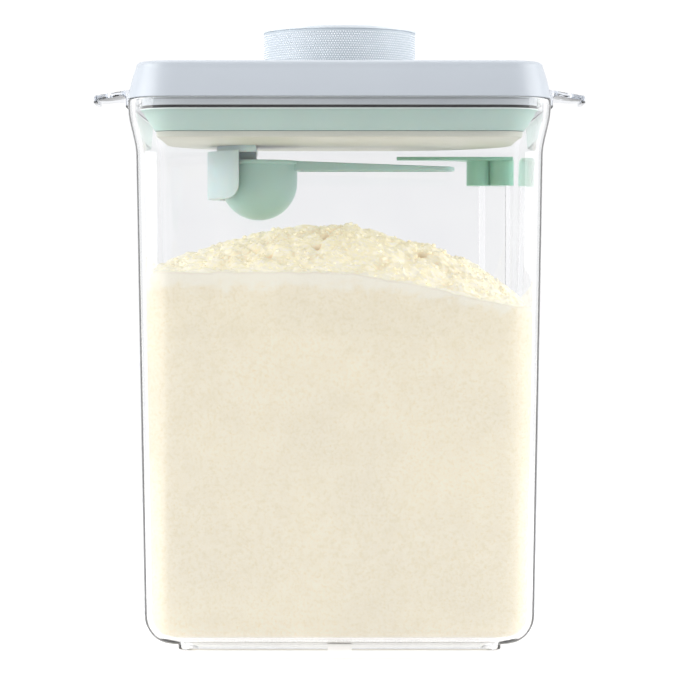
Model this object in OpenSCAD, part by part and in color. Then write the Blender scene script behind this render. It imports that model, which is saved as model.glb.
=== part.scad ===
// Airtight formula dispenser: a clear box with two ears, a push-button lid whose
// silicone gasket is squeezed by two rocker levers, a scoop clipped under the lid,
// a levelling blade on rails inside the box, and the powder itself.
// Millimetres. +Z is up, -Y is the front, and the origin is the middle of the base.

/* [Container] */
// Outer width across the rim
mouth_w = 142; // [138:1:148]
// Outer depth across the rim
mouth_d = 116; // [112:1:120]
// Height of the rim above the table
rim_z = 185.2; // [180:0.2:190]
// Wall thickness of the clear box
wall = 2.2; // [1.8:0.1:2.6]
// Height at which the wall starts to flare outwards
shoulder_z = 166; // [158:1:168]
// How far the flare widens each side
flare = 2.7; // [2:0.1:3.5]
// How far the drafted wall narrows each side, from shoulder to base
draft = 2.8; // [2:0.2:3.2]
// Radius of the rounded edge round the base
base_fillet = 10; // [8:1:11]
// Plan radius of the rim's corners
rim_corner_r = 16; // [14:1:18]
// How far an ear reaches past the rim
ear_reach = 14; // [10:1:16]

/* [Lid] */
// Height of the cover above the rim
lid_h = 12.3; // [11:0.1:14]
// Height of the gasket when it is slack
gasket_h = 7.6; // [7:0.1:8.4]
// Radius of the push button
button_r = 26.5; // [24:0.5:27]
// Travel of the push button
press = 13; // [11:0.5:13]

/* [Scoop] */
// Outer radius of the bowl
bowl_r = 13.5; // [12:0.5:14]
// Depth of the bowl from its rim
bowl_depth = 20.9; // [19:0.1:21]
// Distance from the bowl's centre to the tip of the handle
handle_reach = 69; // [60:1:70]

/* [Powder] */
// Height of the top of the heap
heap_z = 144; // [115:1:144]

/* [Hidden] */
$fn = 64;

// how deep one shape is sunk into the next where they are joined
sink = 0.4;

// container
mouth_hw = mouth_w / 2;
depth_step = (mouth_w - mouth_d) / 2;
min_corner_r = 5;
corner_steps = 8;
body_hw = mouth_hw - flare;
base_hw = body_hw - draft;
foot_h = 2;
foot_hw = base_hw - 11.1;
foot_wall = 2.2;
foot_notch = 8;
floor_z = foot_h + wall;
flare_top_z = rim_z - 2.7;
inner_fillet = base_fillet - wall;

// ears
ear_root_hy = 21;
ear_tip_hy = 12;
ear_corner_r = 5;
ear_root_top = 4.7;
ear_tip_top = 3.4;
ear_thick = 1.6;
ear_lip = 2.5;
ear_web = 1.7;
ear_gap = 0.35;

// levelling rails and blade
rail_x = [51.4, 61.2];
rail_half = [1, 1.2];
rail_front_y = [46.8, 44.6];
rail_top_z = 168.7;
rail_gap = 0.2;
blade_thick = 1.2;
blade_tip_x = 20.5;
blade_front_y = 37.2;
sleeve_h = 8.9;
sleeve_pos = [[50, 45], [59.2, 43.6]];
sleeve_r = [4.3, 5.2];

// lid
lid_gap = 0.1;
lid_z0 = rim_z + lid_gap;
lid_top_z = rim_z + lid_h;
lid_wall = 2.2;
lid_top_hw = mouth_hw - 2.6;
lid_edge_r = 1.8;
hole_clear = 0.3;
collar_wall = 1.5;
collar_z = lid_z0 + 2.9;
gasket_top_z = rim_z - 3.1;
gasket_z = gasket_top_z - gasket_h;
neck_hw = mouth_hw - 5;
neck_wall = 1.6;
tub_hw = mouth_hw - 13;
tub_wall = 1.6;
tub_floor = 1.4;
tub_z = gasket_top_z - 5.3;
tub_floor_z = tub_z + tub_floor;
flange_h = 1.6;
gasket_play = 0.03;
screw_pos = [48, 36];
screw_head_r = 2.8;
screw_head_h = 1.9;
screw_head_z = tub_z + 0.3;
screw_r = 1.2;
screw_h = 13.7;
screw_boss_r = 3.4;
screw_bore_h = 13.2;
cross_w = 0.7;
tub_boss_r = 4.6;
tub_boss_h = 3;
boss_gap = 0.2;

// push button
button_top_z = lid_top_z + 14.5;
cap_h = 1.8;
sleeve_wall = 1.4;
grip_r = button_r - 0.3;
skirt_z = lid_top_z - 6;
slot_h = 6.2;
carrier_top_z = button_top_z - cap_h;
carrier_h = 2.8;
carrier_z = carrier_top_z - carrier_h;
spring_pos = 13;
spring_r = 3.4;
spring_wire_r = 0.4;
spring_turns = 8;
spring_peg_h = 7;
spring_cup_h = 3.6;
hub_ring_r = [4.8, 7.8];
rib_reach = 23.5;
rib_w = 1.4;
rib_h = 2;

// rocker levers
pivot_x = 31;
pivot_z = 184.3;
long_arm = 25;
short_arm = 4;
rest_angle = 20;
lever_hy = 2.4;
nose_r = 1.2;
bar_half = 0.9;
hub_r = 3;
boss_r = 2;
pivot_pin_r = 1.25;
link_pin_r = 1.2;
bracket_y = [4.8, 6.6];
bracket_half = 2.8;
jaw_y = [2.8, 4.4];
jaw_x = [33.2, 38];
jaw_over_pin = 3.1;
jaw_slit = 3.2;
jaw_clear = 0.6;
pin_play = 0.06;
hub_bottom_z = pivot_z + long_arm * sin(rest_angle) + nose_r + 0.15;
link_x = pivot_x + short_arm * cos(rest_angle);
link_z = pivot_z - short_arm * sin(rest_angle);

// push-push latch
cam_y = [12.6, 15.8];
cam_groove = 1.6;
cam_bottom_z = skirt_z;
latch_pin_r = 0.8;
latch_pivot_z = tub_floor_z + 2.7;
latch_pin_z = cam_bottom_z + 1.6;
latch_arm = latch_pin_z - latch_pivot_z;
latch_swing = 8;
latch_y = [16.6, 18.2];
latch_arm_half = 1;
latch_eye_r = 1.9;
latch_bracket_half = 3;
latch_bracket_t = 2;
latch_bracket_h = 4.8;
cam_half = 5.5;
groove_half = 3.6;

// scoop, its holder and the plate above them
plate_t = 2.2;
plate_top_z = gasket_z;
plate_z = plate_top_z - plate_t;
plate_hw = mouth_hw - 9.5;
bowl_x = -28.4;
bowl_y = 20;
bowl_wall = 1.2;
bowl_rim_z = 167.4;
bowl_bottom_z = bowl_rim_z - bowl_depth;
bowl_centre_z = bowl_bottom_z + bowl_r;
rim_flange = 0.8;
rim_flange_h = 1.3;
handle_hy = 5;
handle_bottom_z = bowl_rim_z - 3.5;
handle_tip_h = 1.4;
handle_skin = 1.3;
holder_in_r = bowl_r + 0.4;
holder_out_r = bowl_r + 4.7;
holder_end_x = bowl_x - 6.7;
holder_z = 153.8;
holder_pad_h = 2.3;
holder_pad_r = holder_out_r - 3.4;
holder_corner_r = 5;
peg_pos = [[-40.5, 20], [-33, 20]];
peg_r = 1.5;

// powder
powder_gap = 0.25;
powder_z = floor_z + powder_gap;
heap_x = -4;
heap_y = 8;
heap_round = 9;
heap_slope_left = 0.34;
heap_slope_right = 0.39;
heap_slope_y = 0.55;
right_slump = 9;
settled_drop = 17.1;
settled_slump = 12;
settle_blend = 2;

// ---------- shared shapes ----------

// 0 to 1 with flat ends
function smooth(t) = let (c = max(0, min(1, t))) c * c * (3 - 2 * c);

// Plan radius of a corner on a wall hw from the middle, so that walls keep one thickness
function corner_r(hw) = max(min_corner_r, rim_corner_r - (mouth_hw - hw));

// Point at angle a on a corner of a rounded rectangle, corner 0 being +X +Y
function arc_point(hw, r, corner, a) = [
    (corner == 0 || corner == 3 ? 1 : -1) * (hw - r) + r * cos(a),
    (corner < 2 ? 1 : -1) * (hw - depth_step - r) + r * sin(a)
];

// Points of one rounded rectangle, hw by hw - depth_step, anticlockwise from above, with
// extra points along each straight side
function section(hw, z, r, extra = 0) = [
    for (corner = [0:3])
        let (
            arc = [
                for (i = [0:corner_steps])
                    arc_point(hw, r, corner, 90 * (corner + i / corner_steps))
            ],
            last = arc[corner_steps],
            next = arc_point(hw, r, (corner + 1) % 4, 90 * (corner + 1)),
            side = [for (i = [1:1:extra]) last + (next - last) * i / (extra + 1)]
        )
        each [for (p = concat(arc, side)) [p[0], p[1], z]]
];

function section_n(extra = 0) = 4 * (corner_steps + 1 + extra);

// Side faces that join ring j to ring k
function band(j, k, n) = [
    for (i = [0:n - 1])
        let (m = (i + 1) % n)
        [j * n + i, k * n + i, k * n + m, j * n + m]
];

// End faces of a stack of rings. Each starts in the middle of a corner, away from points in line.
function lids(rings, n) =
    let (start = floor(corner_steps / 2))
    [
        [for (i = [0:n - 1]) (i + start) % n],
        [for (i = [n - 1:-1:0]) (rings - 1) * n + (i + start) % n]
    ];

// A solid swept round the box from a profile of [half width, z] pairs. The profile has the
// material on its left. capped closes its two ends flat, and otherwise it closes on itself.
module swept(profile, capped = true) {
    count = len(profile);
    n = section_n();
    points = [for (p = profile) each section(p[0], p[1], corner_r(p[0]))];
    sides = [for (j = [0:count - 2]) each band(j, j + 1, n)];
    ends = capped ? lids(count, n) : band(count - 1, 0, n);
    polyhedron(points, concat(sides, ends), convexity = 6);
}

// A rounded rectangle in 2D with true arcs
module rounded_plan(hw, r = undef) {
    radius = is_undef(r) ? corner_r(hw) : r;
    hd = hw - depth_step;
    square([2 * (hw - radius), 2 * hd], center = true);
    square([2 * hw, 2 * (hd - radius)], center = true);
    for (x = [-1, 1], y = [-1, 1])
        translate([x * (hw - radius), y * (hd - radius)])
            circle(radius);
}

module plan_block(hw, z0, z1, r = undef) {
    translate([0, 0, z0])
        linear_extrude(z1 - z0)
            rounded_plan(hw, r);
}

// A bar along Y of a 2D shape drawn in X and Z
module along_y(y0, y1) {
    translate([0, y1, 0])
        rotate([90, 0, 0])
            linear_extrude(y1 - y0)
                children();
}

module pin_y(x, z, r, hy) {
    translate([x, 0, z])
        rotate([90, 0, 0])
            cylinder(h = 2 * hy, r = r, center = true, $fn = 32);
}

module both_sides() {
    children();
    mirror([1, 0, 0])
        children();
}

// ---------- container ----------

// Half width of the outer wall at a height above the base fillet
function outer_hw(z) =
    z < shoulder_z
        ? base_hw + draft * (z - foot_h - base_fillet) / (shoulder_z - foot_h - base_fillet)
        : body_hw + flare * smooth((z - shoulder_z) / (flare_top_z - shoulder_z));

flare_heights = [for (i = [0:6]) shoulder_z + i * (flare_top_z - shoulder_z) / 6];

// Corner of the base: a quarter circle about (x, z), from straight down to straight out
function fillet_path(x, z, r, steps) = [
    for (i = [0:steps]) [x + r * sin(90 * i / steps), z - r * cos(90 * i / steps)]
];

function reversed(list) = [for (i = [len(list) - 1:-1:0]) list[i]];

outer_wall = concat(
    fillet_path(base_hw - base_fillet, foot_h + base_fillet, base_fillet, 6),
    [for (z = flare_heights) [outer_hw(z), z]],
    [[mouth_hw, rim_z]]
);

inner_wall = concat(
    fillet_path(base_hw - wall - inner_fillet, floor_z + inner_fillet, inner_fillet, 6),
    [for (z = flare_heights) [outer_hw(z) - wall, z]],
    [[mouth_hw - wall, rim_z]]
);

foot_path = [
    [foot_hw - foot_wall, foot_h],
    [foot_hw - foot_wall, 0],
    [foot_hw, 0],
    [foot_hw, foot_h]
];

// Outline from above, narrowing towards its rounded tip
module ear_plan() {
    hull() {
        translate([mouth_hw - 2, -ear_root_hy])
            square([3, 2 * ear_root_hy]);
        for (y = [-1, 1])
            translate([mouth_hw + ear_reach - ear_corner_r, y * (ear_tip_hy - ear_corner_r)])
                circle(ear_corner_r);
    }
}

// Outline from the front: a web outside the lid, a plate that droops outwards, and a lip
module ear_outline() {
    tip = ear_reach;
    translate([mouth_hw, rim_z])
        polygon([
            [-1.2, -2.6],
            [0.6, -2.6],
            [ear_gap + ear_web, -1.2],
            [ear_gap + ear_web, ear_root_top - ear_thick - 1.2],
            [ear_gap + ear_web + 1.2, ear_root_top - ear_thick - 0.2],
            [tip - 1.8, ear_tip_top - ear_thick + 0.1],
            [tip - 1.6, ear_tip_top - ear_lip],
            [tip, ear_tip_top - ear_lip],
            [tip, ear_tip_top - 0.7],
            [tip - 0.6, ear_tip_top],
            [ear_gap, ear_root_top],
            [ear_gap, -0.3],
            [-1.2, -0.3]
        ]);
}

module ear() {
    intersection() {
        translate([0, 0, rim_z - 5])
            linear_extrude(12)
                ear_plan();
        along_y(-ear_root_hy, ear_root_hy)
            ear_outline();
    }
}

// One upright rail before it is trimmed to the wall, grown on each side by gap
module rail_block(i, gap = 0) {
    translate([rail_x[i] - rail_half[i] - gap, rail_front_y[i] - gap, floor_z - 0.6])
        cube([2 * (rail_half[i] + gap), 12, rail_top_z - floor_z + 0.6]);
}

module rails() {
    intersection() {
        swept(outer_wall);
        for (i = [0, 1])
            rail_block(i);
    }
}

module container() {
    color([0.9, 0.94, 0.95, 0.35])
        difference() {
            union() {
                swept(concat(foot_path, outer_wall, reversed(inner_wall)));
                both_sides()
                    ear();
                rails();
            }
            for (turn = [0, 90])
                rotate(turn)
                    translate([-foot_notch / 2, -100, -1])
                        cube([foot_notch, 200, foot_h + 0.5]);
        }
}

// ---------- levelling blade ----------

module blade_plan() {
    polygon([
        [blade_tip_x + 1.5, blade_front_y],
        [63.4, blade_front_y],
        [63.9, 41],
        [63, 46.2],
        [59.5, 50],
        [54, 51.4],
        [45.5, 51.4],
        [42, 46],
        [34, 42.4],
        [blade_tip_x + 1.5, blade_front_y + 3.4],
        [blade_tip_x, blade_front_y + 2.4],
        [blade_tip_x, blade_front_y + 1]
    ]);
}

module leveller() {
    color([0.6, 0.79, 0.71]) {
        translate([0, 0, rail_top_z])
            linear_extrude(blade_thick)
                blade_plan();
        difference() {
            for (i = [0, 1])
                translate([sleeve_pos[i][0], sleeve_pos[i][1], rail_top_z - sleeve_h])
                    cylinder(h = sleeve_h + 0.5, r = sleeve_r[i]);
            for (i = [0, 1])
                translate([
                    rail_x[i] - rail_half[i] - rail_gap,
                    rail_front_y[i] - rail_gap,
                    rail_top_z - sleeve_h - 1
                ])
                    cube([2 * (rail_half[i] + rail_gap), 12, sleeve_h + 1]);
        }
    }
}

// ---------- powder ----------

// Cone of the heap, rounded at its top, with a steeper right side
function cone_z(x, y) =
    let (
        dx = x - heap_x,
        kx = dx < 0 ? heap_slope_left : heap_slope_right
    )
    heap_z + heap_round - right_slump * smooth((dx - 40) / 45)
        - sqrt(heap_round ^ 2 + (kx * dx) ^ 2 + (heap_slope_y * (y - heap_y)) ^ 2);

// Level of the settled powder round the heap, slumped on the right
function settled_z(x) = heap_z - settled_drop - settled_slump * smooth((x + 5) / 75);

function powder_top(x, y) =
    let (level = settled_z(x))
    level + settle_blend * ln(1 + exp((cone_z(x, y) - level) / settle_blend));

function inner_hw(z) =
    z < floor_z + inner_fillet
        ? base_hw - wall - inner_fillet
            + sqrt(max(0, inner_fillet ^ 2 - (floor_z + inner_fillet - z) ^ 2))
        : outer_hw(max(z, foot_h + base_fillet)) - wall;

// Share of the way from the floor to the surface, for each ring of the side
side_shares = [0, 0.012, 0.03, 0.06, 0.35, 0.68, 1];
// Share of the way from the wall to the middle, for each ring of the surface
top_shares = [0.9, 0.78, 0.65, 0.52, 0.4, 0.28, 0.17, 0.07];
side_points = 7;

module formula_powder() {
    wall_hw = inner_hw(120) - powder_gap;
    edge = section(wall_hw, 0, corner_r(wall_hw), side_points);
    rise = [for (p = edge) powder_top(p[0], p[1]) - powder_z];
    n = section_n(side_points);
    sides = [
        for (t = side_shares)
            for (i = [0:n - 1])
                let (
                    z = powder_z + t * rise[i],
                    hw = inner_hw(z) - powder_gap
                )
                section(hw, z, corner_r(hw), side_points)[i]
    ];
    heap = [
        for (s = top_shares)
            for (p = edge)
                [p[0] * s, p[1] * s, powder_top(p[0] * s, p[1] * s)]
    ];
    rings = len(side_shares) + len(top_shares);
    color([0.94, 0.9, 0.81])
        difference() {
            polyhedron(
                concat(sides, heap),
                concat([for (j = [0:rings - 2]) each band(j, j + 1, n)], lids(rings, n)),
                convexity = 4
            );
            for (i = [0, 1])
                rail_block(i, powder_gap);
        }
}

// ---------- lid ----------

cover_outside = concat(
    [
        [mouth_hw, lid_z0],
        [mouth_hw - 0.8, lid_z0 + 2.9],
        [mouth_hw - 1.8, lid_z0 + 6.9]
    ],
    [
        for (i = [0:4])
            let (a = 90 * i / 4)
            [
                lid_top_hw - lid_edge_r * (1 - cos(a)),
                lid_top_z - lid_edge_r * (1 - sin(a))
            ]
    ]
);

cover_inside = [
    [lid_top_hw - lid_edge_r - 0.6, lid_top_z - lid_wall],
    [mouth_hw - lid_wall - 1.6, lid_z0 + 6.9],
    [mouth_hw - lid_wall, lid_z0]
];

module at_screws() {
    for (x = [-1, 1], y = [-1, 1])
        translate([x * screw_pos[0], y * screw_pos[1], 0])
            children();
}

module lid_cover() {
    hole_r = button_r + hole_clear;
    boss_z = tub_floor_z + tub_boss_h + boss_gap;
    boss_h = lid_top_z - lid_wall / 2 - boss_z;
    color([0.9, 0.92, 0.95])
        difference() {
            union() {
                swept(concat(cover_inside, cover_outside));
                translate([0, 0, collar_z])
                    cylinder(h = lid_top_z - lid_wall / 2 - collar_z, r = hole_r + collar_wall);
                at_screws()
                    translate([0, 0, boss_z])
                        cylinder(h = boss_h, r = screw_boss_r);
            }
            translate([0, 0, collar_z - 1])
                cylinder(h = lid_h + 2, r = hole_r);
            at_screws()
                translate([0, 0, tub_floor_z])
                    cylinder(h = screw_bore_h, r = screw_r, $fn = 32);
        }
}

module pivot_bracket() {
    for (side = [-1, 1])
        along_y(
            side > 0 ? bracket_y[0] : -bracket_y[1],
            side > 0 ? bracket_y[1] : -bracket_y[0]
        )
            difference() {
                union() {
                    translate([pivot_x - bracket_half, tub_floor_z - sink])
                        square([2 * bracket_half, pivot_z - tub_floor_z + sink]);
                    translate([pivot_x, pivot_z])
                        circle(bracket_half);
                }
                translate([pivot_x, pivot_z])
                    circle(pivot_pin_r + 0.02);
            }
}

module latch_bracket() {
    difference() {
        translate([-latch_bracket_half, latch_y[1] + 0.4, tub_floor_z - sink])
            cube([2 * latch_bracket_half, latch_bracket_t, latch_bracket_h + sink]);
        pin_y(0, latch_pivot_z, latch_pin_r, 40);
    }
}

module lid_frame() {
    color([0.86, 0.88, 0.9])
        difference() {
            union() {
                difference() {
                    union() {
                        plan_block(tub_hw, tub_z, gasket_top_z + 1);
                        plan_block(neck_hw, gasket_top_z, lid_z0 + flange_h);
                        plan_block(mouth_hw - lid_wall - 0.6, lid_z0, lid_z0 + flange_h);
                    }
                    plan_block(tub_hw - tub_wall, tub_floor_z, lid_z0 + 3);
                    plan_block(neck_hw - neck_wall, gasket_top_z + flange_h, lid_z0 + 3);
                }
                both_sides()
                    pivot_bracket();
                latch_bracket();
                at_screws()
                    translate([0, 0, tub_z + sink])
                        cylinder(h = tub_floor + tub_boss_h - sink, r = tub_boss_r);
                for (x = [-1, 1], y = [-1, 1])
                    translate([x * spring_pos, y * spring_pos, tub_floor_z - 1])
                        cylinder(
                            h = spring_peg_h + 1,
                            r = spring_r - spring_wire_r - 0.5,
                            $fn = 32
                        );
            }
            // slots for the jaws of the sealing plate
            both_sides()
                translate([jaw_x[0] - jaw_clear, -jaw_y[1] - 0.2, tub_z - 1])
                    cube([
                        jaw_x[1] - jaw_x[0] + 2 * jaw_clear,
                        2 * jaw_y[1] + 0.4,
                        tub_floor + 2
                    ]);
            at_screws() {
                translate([0, 0, tub_z - 1])
                    cylinder(h = 3.2, r = screw_head_r + 0.3, $fn = 32);
                translate([0, 0, tub_z])
                    cylinder(h = 8, r = screw_r + 0.4, $fn = 32);
            }
        }
}

module gasket() {
    z0 = gasket_z + gasket_play;
    z1 = gasket_top_z - gasket_play;
    profile = [
        [tub_hw + 0.2, z0],
        [plate_hw + 0.4, z0],
        [plate_hw + 0.8, z0 + 0.87],
        [neck_hw + 0.3, z1 - 0.87],
        [neck_hw + 0.6, z1],
        [tub_hw + 0.2, z1]
    ];
    color([0.7, 0.79, 0.76])
        swept(profile, capped = false);
}

module lid_screws() {
    color([0.75, 0.76, 0.78])
        at_screws()
            difference() {
                union() {
                    translate([0, 0, screw_head_z])
                        cylinder(h = screw_head_h, r = screw_head_r, $fn = 32);
                    translate([0, 0, screw_head_z + 0.7])
                        cylinder(h = screw_h - 0.7, r = screw_r - 0.02, $fn = 32);
                }
                // cross recess
                for (turn = [0, 90])
                    rotate(turn)
                        translate([-1.6, -cross_w / 2, screw_head_z - 0.3])
                            cube([3.2, cross_w, 1.3]);
            }
}

module rocker_pivot_pins() {
    color([0.75, 0.76, 0.78])
        both_sides()
            pin_y(pivot_x, pivot_z, pivot_pin_r, bracket_y[1] + 0.3);
}

module latch_pivot_pin() {
    color([0.75, 0.76, 0.78])
        translate([0, latch_y[0] - 0.2, latch_pivot_z])
            rotate([-90, 0, 0])
                cylinder(h = latch_y[1] + 2.4 - latch_y[0] + 0.2, r = latch_pin_r - 0.01, $fn = 32);
}

// One wire coil standing on the tub floor: 10 rings a turn, 6 sides
module coil(height) {
    steps = spring_turns * 10;
    sides = 6;
    rise = height - 2 * spring_wire_r - 0.04;
    points = [
        for (i = [0:steps])
            let (a = 36 * i, z = spring_wire_r + 0.02 + rise * i / steps)
            for (j = [0:sides - 1])
                let (b = 60 * j, r = spring_r + spring_wire_r * cos(b))
                [r * cos(a), r * sin(a), z + spring_wire_r * sin(b)]
    ];
    faces = concat(
        [
            for (i = [0:steps - 1])
                for (j = [0:sides - 1])
                    let (n = (j + 1) % sides)
                    [
                        i * sides + j, i * sides + n,
                        (i + 1) * sides + n, (i + 1) * sides + j
                    ]
        ],
        [[for (j = [sides - 1:-1:0]) j]],
        [[for (j = [0:sides - 1]) steps * sides + j]]
    );
    polyhedron(points, faces, convexity = 20);
}

module return_springs() {
    color([0.75, 0.76, 0.78])
        for (x = [-1, 1], y = [-1, 1])
            translate([x * spring_pos, y * spring_pos, tub_floor_z])
                coil(carrier_z - tub_floor_z);
}

// ---------- push button ----------

module button_cap() {
    color([0.93, 0.95, 0.97])
        rotate_extrude($fn = 128)
            polygon([
                [0, carrier_top_z],
                [button_r - sleeve_wall - 0.4, carrier_top_z],
                [button_r - sleeve_wall - 0.4, carrier_top_z + 0.4],
                [button_r - 0.2, carrier_top_z + 0.4],
                [button_r, carrier_top_z + 0.7],
                [button_r, button_top_z - 0.8],
                [button_r - 0.25, button_top_z - 0.25],
                [button_r - 0.8, button_top_z],
                [0, button_top_z]
            ]);
}

module button_sleeve() {
    color([0.9, 0.93, 0.95])
        difference() {
            translate([0, 0, skirt_z])
                cylinder(h = carrier_top_z + 0.4 - skirt_z, r = grip_r, $fn = 128);
            translate([0, 0, skirt_z - 1])
                cylinder(h = carrier_top_z + 2 - skirt_z, r = grip_r - sleeve_wall, $fn = 128);
            // slots that straddle the rocker levers
            translate([-40, -lever_hy - 0.7, skirt_z - 1])
                cube([80, 2 * lever_hy + 1.4, slot_h + 1]);
        }
}

module button_carrier() {
    cup_r = spring_r + spring_wire_r + 0.6;
    color([0.86, 0.88, 0.9])
        difference() {
            union() {
                translate([0, 0, carrier_z])
                    cylinder(h = carrier_h, r = grip_r - sleeve_wall - 0.05, $fn = 128);
                translate([0, 0, hub_bottom_z])
                    cylinder(h = carrier_z - hub_bottom_z + 1, r = hub_ring_r[1]);
                for (x = [-1, 1], y = [-1, 1])
                    translate([x * spring_pos, y * spring_pos, carrier_z - spring_cup_h])
                        cylinder(h = spring_cup_h + 1, r = cup_r + 1, $fn = 48);
                // stiffening ribs under the disc, clear of the levers
                for (turn = [45, 135])
                    rotate(turn)
                        translate([-rib_reach, -rib_w / 2, carrier_z - rib_h])
                            cube([2 * rib_reach, rib_w, rib_h + 1]);
            }
            translate([0, 0, hub_bottom_z - 1])
                cylinder(h = carrier_z - hub_bottom_z + 1, r = hub_ring_r[0]);
            for (x = [-1, 1], y = [-1, 1])
                translate([x * spring_pos, y * spring_pos, carrier_z - spring_cup_h - 1])
                    cylinder(h = spring_cup_h + 1, r = cup_r, $fn = 48);
        }
}

// Height in the groove, above the pin's rest, against the pin's side step there
function pin_step(s) = -latch_arm * sin(latch_swing * s / press);

module heart() {
    margin = latch_pin_r + 0.25;
    polygon([
        [pin_step(4.2) + margin, 4.2],
        [1.7, 6],
        [1.7, 11],
        [0.5, 10.1],
        [pin_step(11) + margin, 11]
    ]);
}

module latch_cam() {
    color([0.93, 0.93, 0.9])
        difference() {
            translate([-cam_half, cam_y[0], cam_bottom_z])
                cube([2 * cam_half, cam_y[1] - cam_y[0], carrier_z - cam_bottom_z]);
            along_y(cam_y[1] - cam_groove, cam_y[1] + 1)
                difference() {
                    translate([-groove_half, latch_pin_z - 1.2])
                        square([2 * groove_half, press + 2.2]);
                    translate([0, latch_pin_z])
                        heart();
                }
        }
}

module latch_follower() {
    color([0.75, 0.76, 0.78]) {
        along_y(latch_y[0], latch_y[1])
            difference() {
                union() {
                    translate([-latch_arm_half, latch_pivot_z])
                        square([2 * latch_arm_half, latch_arm]);
                    translate([0, latch_pivot_z])
                        circle(latch_eye_r, $fn = 32);
                    translate([0, latch_pin_z])
                        circle(latch_arm_half, $fn = 32);
                }
                translate([0, latch_pivot_z])
                    circle(latch_pin_r + 0.04, $fn = 32);
            }
        translate([0, cam_y[1] - cam_groove + 0.3, latch_pin_z])
            rotate([-90, 0, 0])
                cylinder(h = latch_y[0] + 0.4 - cam_y[1] + cam_groove - 0.3, r = latch_pin_r, $fn = 32);
    }
}

// ---------- rocker levers ----------

module rocker(side) {
    mirror([side < 0 ? 1 : 0, 0, 0])
        translate([pivot_x, 0, pivot_z])
            rotate([0, rest_angle, 0])
                along_y(-lever_hy, lever_hy)
                    difference() {
                        union() {
                            translate([-long_arm, -bar_half])
                                square([long_arm, 2 * bar_half]);
                            translate([-long_arm, 0])
                                circle(nose_r, $fn = 32);
                            circle(hub_r);
                            translate([0, -boss_r])
                                square([short_arm, 2 * boss_r]);
                            translate([short_arm, 0])
                                circle(boss_r);
                        }
                        circle(pivot_pin_r + 0.05, $fn = 32);
                        translate([short_arm, 0])
                            circle(link_pin_r, $fn = 32);
                    }
}

module rocker_left() {
    color([0.93, 0.93, 0.9])
        rocker(-1);
}

module rocker_right() {
    color([0.93, 0.93, 0.9])
        rocker(1);
}

module link_pin_left() {
    color([0.75, 0.76, 0.78])
        pin_y(-link_x, link_z, link_pin_r - 0.01, jaw_y[1] - 0.1);
}

module link_pin_right() {
    color([0.75, 0.76, 0.78])
        pin_y(link_x, link_z, link_pin_r - 0.01, jaw_y[1] - 0.1);
}

// ---------- sealing plate, scoop holder, scoop ----------

// A pair of upright jaws, open towards the pivot, that the link pin lifts
module jaws() {
    for (side = [-1, 1])
        along_y(side > 0 ? jaw_y[0] : -jaw_y[1], side > 0 ? jaw_y[1] : -jaw_y[0])
            difference() {
                translate([jaw_x[0], plate_top_z - 0.5])
                    square([
                        jaw_x[1] - jaw_x[0],
                        link_z + jaw_over_pin - plate_top_z + 0.5
                    ]);
                translate([jaw_x[0] - 1, link_z - link_pin_r - pin_play])
                    square([jaw_slit + 1, 2 * (link_pin_r + pin_play)]);
            }
}

module seal_plate() {
    color([0.92, 0.91, 0.88])
        difference() {
            union() {
                plan_block(plate_hw, plate_z, plate_top_z);
                both_sides()
                    jaws();
            }
            for (p = peg_pos)
                translate([p[0], p[1], plate_z - 1])
                    cylinder(h = 4, r = peg_r + 0.05, $fn = 32);
        }
}

// Side outline of the cradle, square at the left and rounded at its lower right corner
module cradle_outline() {
    x0 = bowl_x - holder_out_r - 1;
    top = plate_z - holder_pad_h + sink;
    union() {
        translate([x0, holder_z + holder_corner_r])
            square([holder_end_x - x0, top - holder_z - holder_corner_r]);
        translate([x0, holder_z])
            square([holder_end_x - x0 - holder_corner_r, holder_corner_r + 1]);
        translate([holder_end_x - holder_corner_r, holder_z + holder_corner_r])
            circle(holder_corner_r);
    }
}

module scoop_holder() {
    pad_x1 = bowl_x - 0.8;
    color([0.78, 0.87, 0.86]) {
        // curved cradle with a groove for the scoop's rim
        difference() {
            intersection() {
                translate([bowl_x, bowl_y, holder_z - 1])
                    cylinder(h = plate_z - holder_z + 1, r = holder_out_r);
                along_y(bowl_y - 30, bowl_y + 30)
                    cradle_outline();
            }
            translate([bowl_x, bowl_y, holder_z - 2])
                cylinder(h = plate_z - holder_pad_h - holder_z + 2, r = holder_in_r);
            translate([bowl_x, bowl_y, bowl_rim_z - rim_flange_h - 0.3])
                cylinder(h = rim_flange_h + 0.6, r = holder_in_r + rim_flange);
            // clears the rim's flange as the scoop slides out
            translate([bowl_x, bowl_y - bowl_r - rim_flange - 0.3, bowl_rim_z - rim_flange_h - 0.3])
                cube([20, 2 * (bowl_r + rim_flange + 0.3), rim_flange_h + 0.6]);
        }
        // mounting pad, its two pegs and the stop above the bowl's rim
        intersection() {
            translate([bowl_x, bowl_y, plate_z - holder_pad_h])
                cylinder(h = holder_pad_h, r = holder_pad_r);
            translate([bowl_x - 20, bowl_y - 20, plate_z - holder_pad_h])
                cube([pad_x1 - bowl_x + 20, 40, holder_pad_h]);
        }
        for (p = peg_pos)
            translate([p[0], p[1], plate_z - 0.5])
                cylinder(h = 1.9, r = peg_r, $fn = 32);
        translate([holder_end_x - 0.1, bowl_y - 6, bowl_rim_z + 0.35])
            cube([5.9, 12, plate_z - holder_pad_h - bowl_rim_z]);
    }
}

// Side outline of the handle: level underneath, falling towards its tip on top
module handle_outline(skin = 0) {
    x0 = bowl_x + bowl_r - 1.6;
    x1 = bowl_x + handle_reach;
    polygon([
        [x0, handle_bottom_z - (skin > 0 ? 1 : 0)],
        [x1, handle_bottom_z - (skin > 0 ? 1 : 0)],
        [x1, handle_bottom_z + handle_tip_h - skin],
        [x0, bowl_rim_z - skin]
    ]);
}

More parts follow.
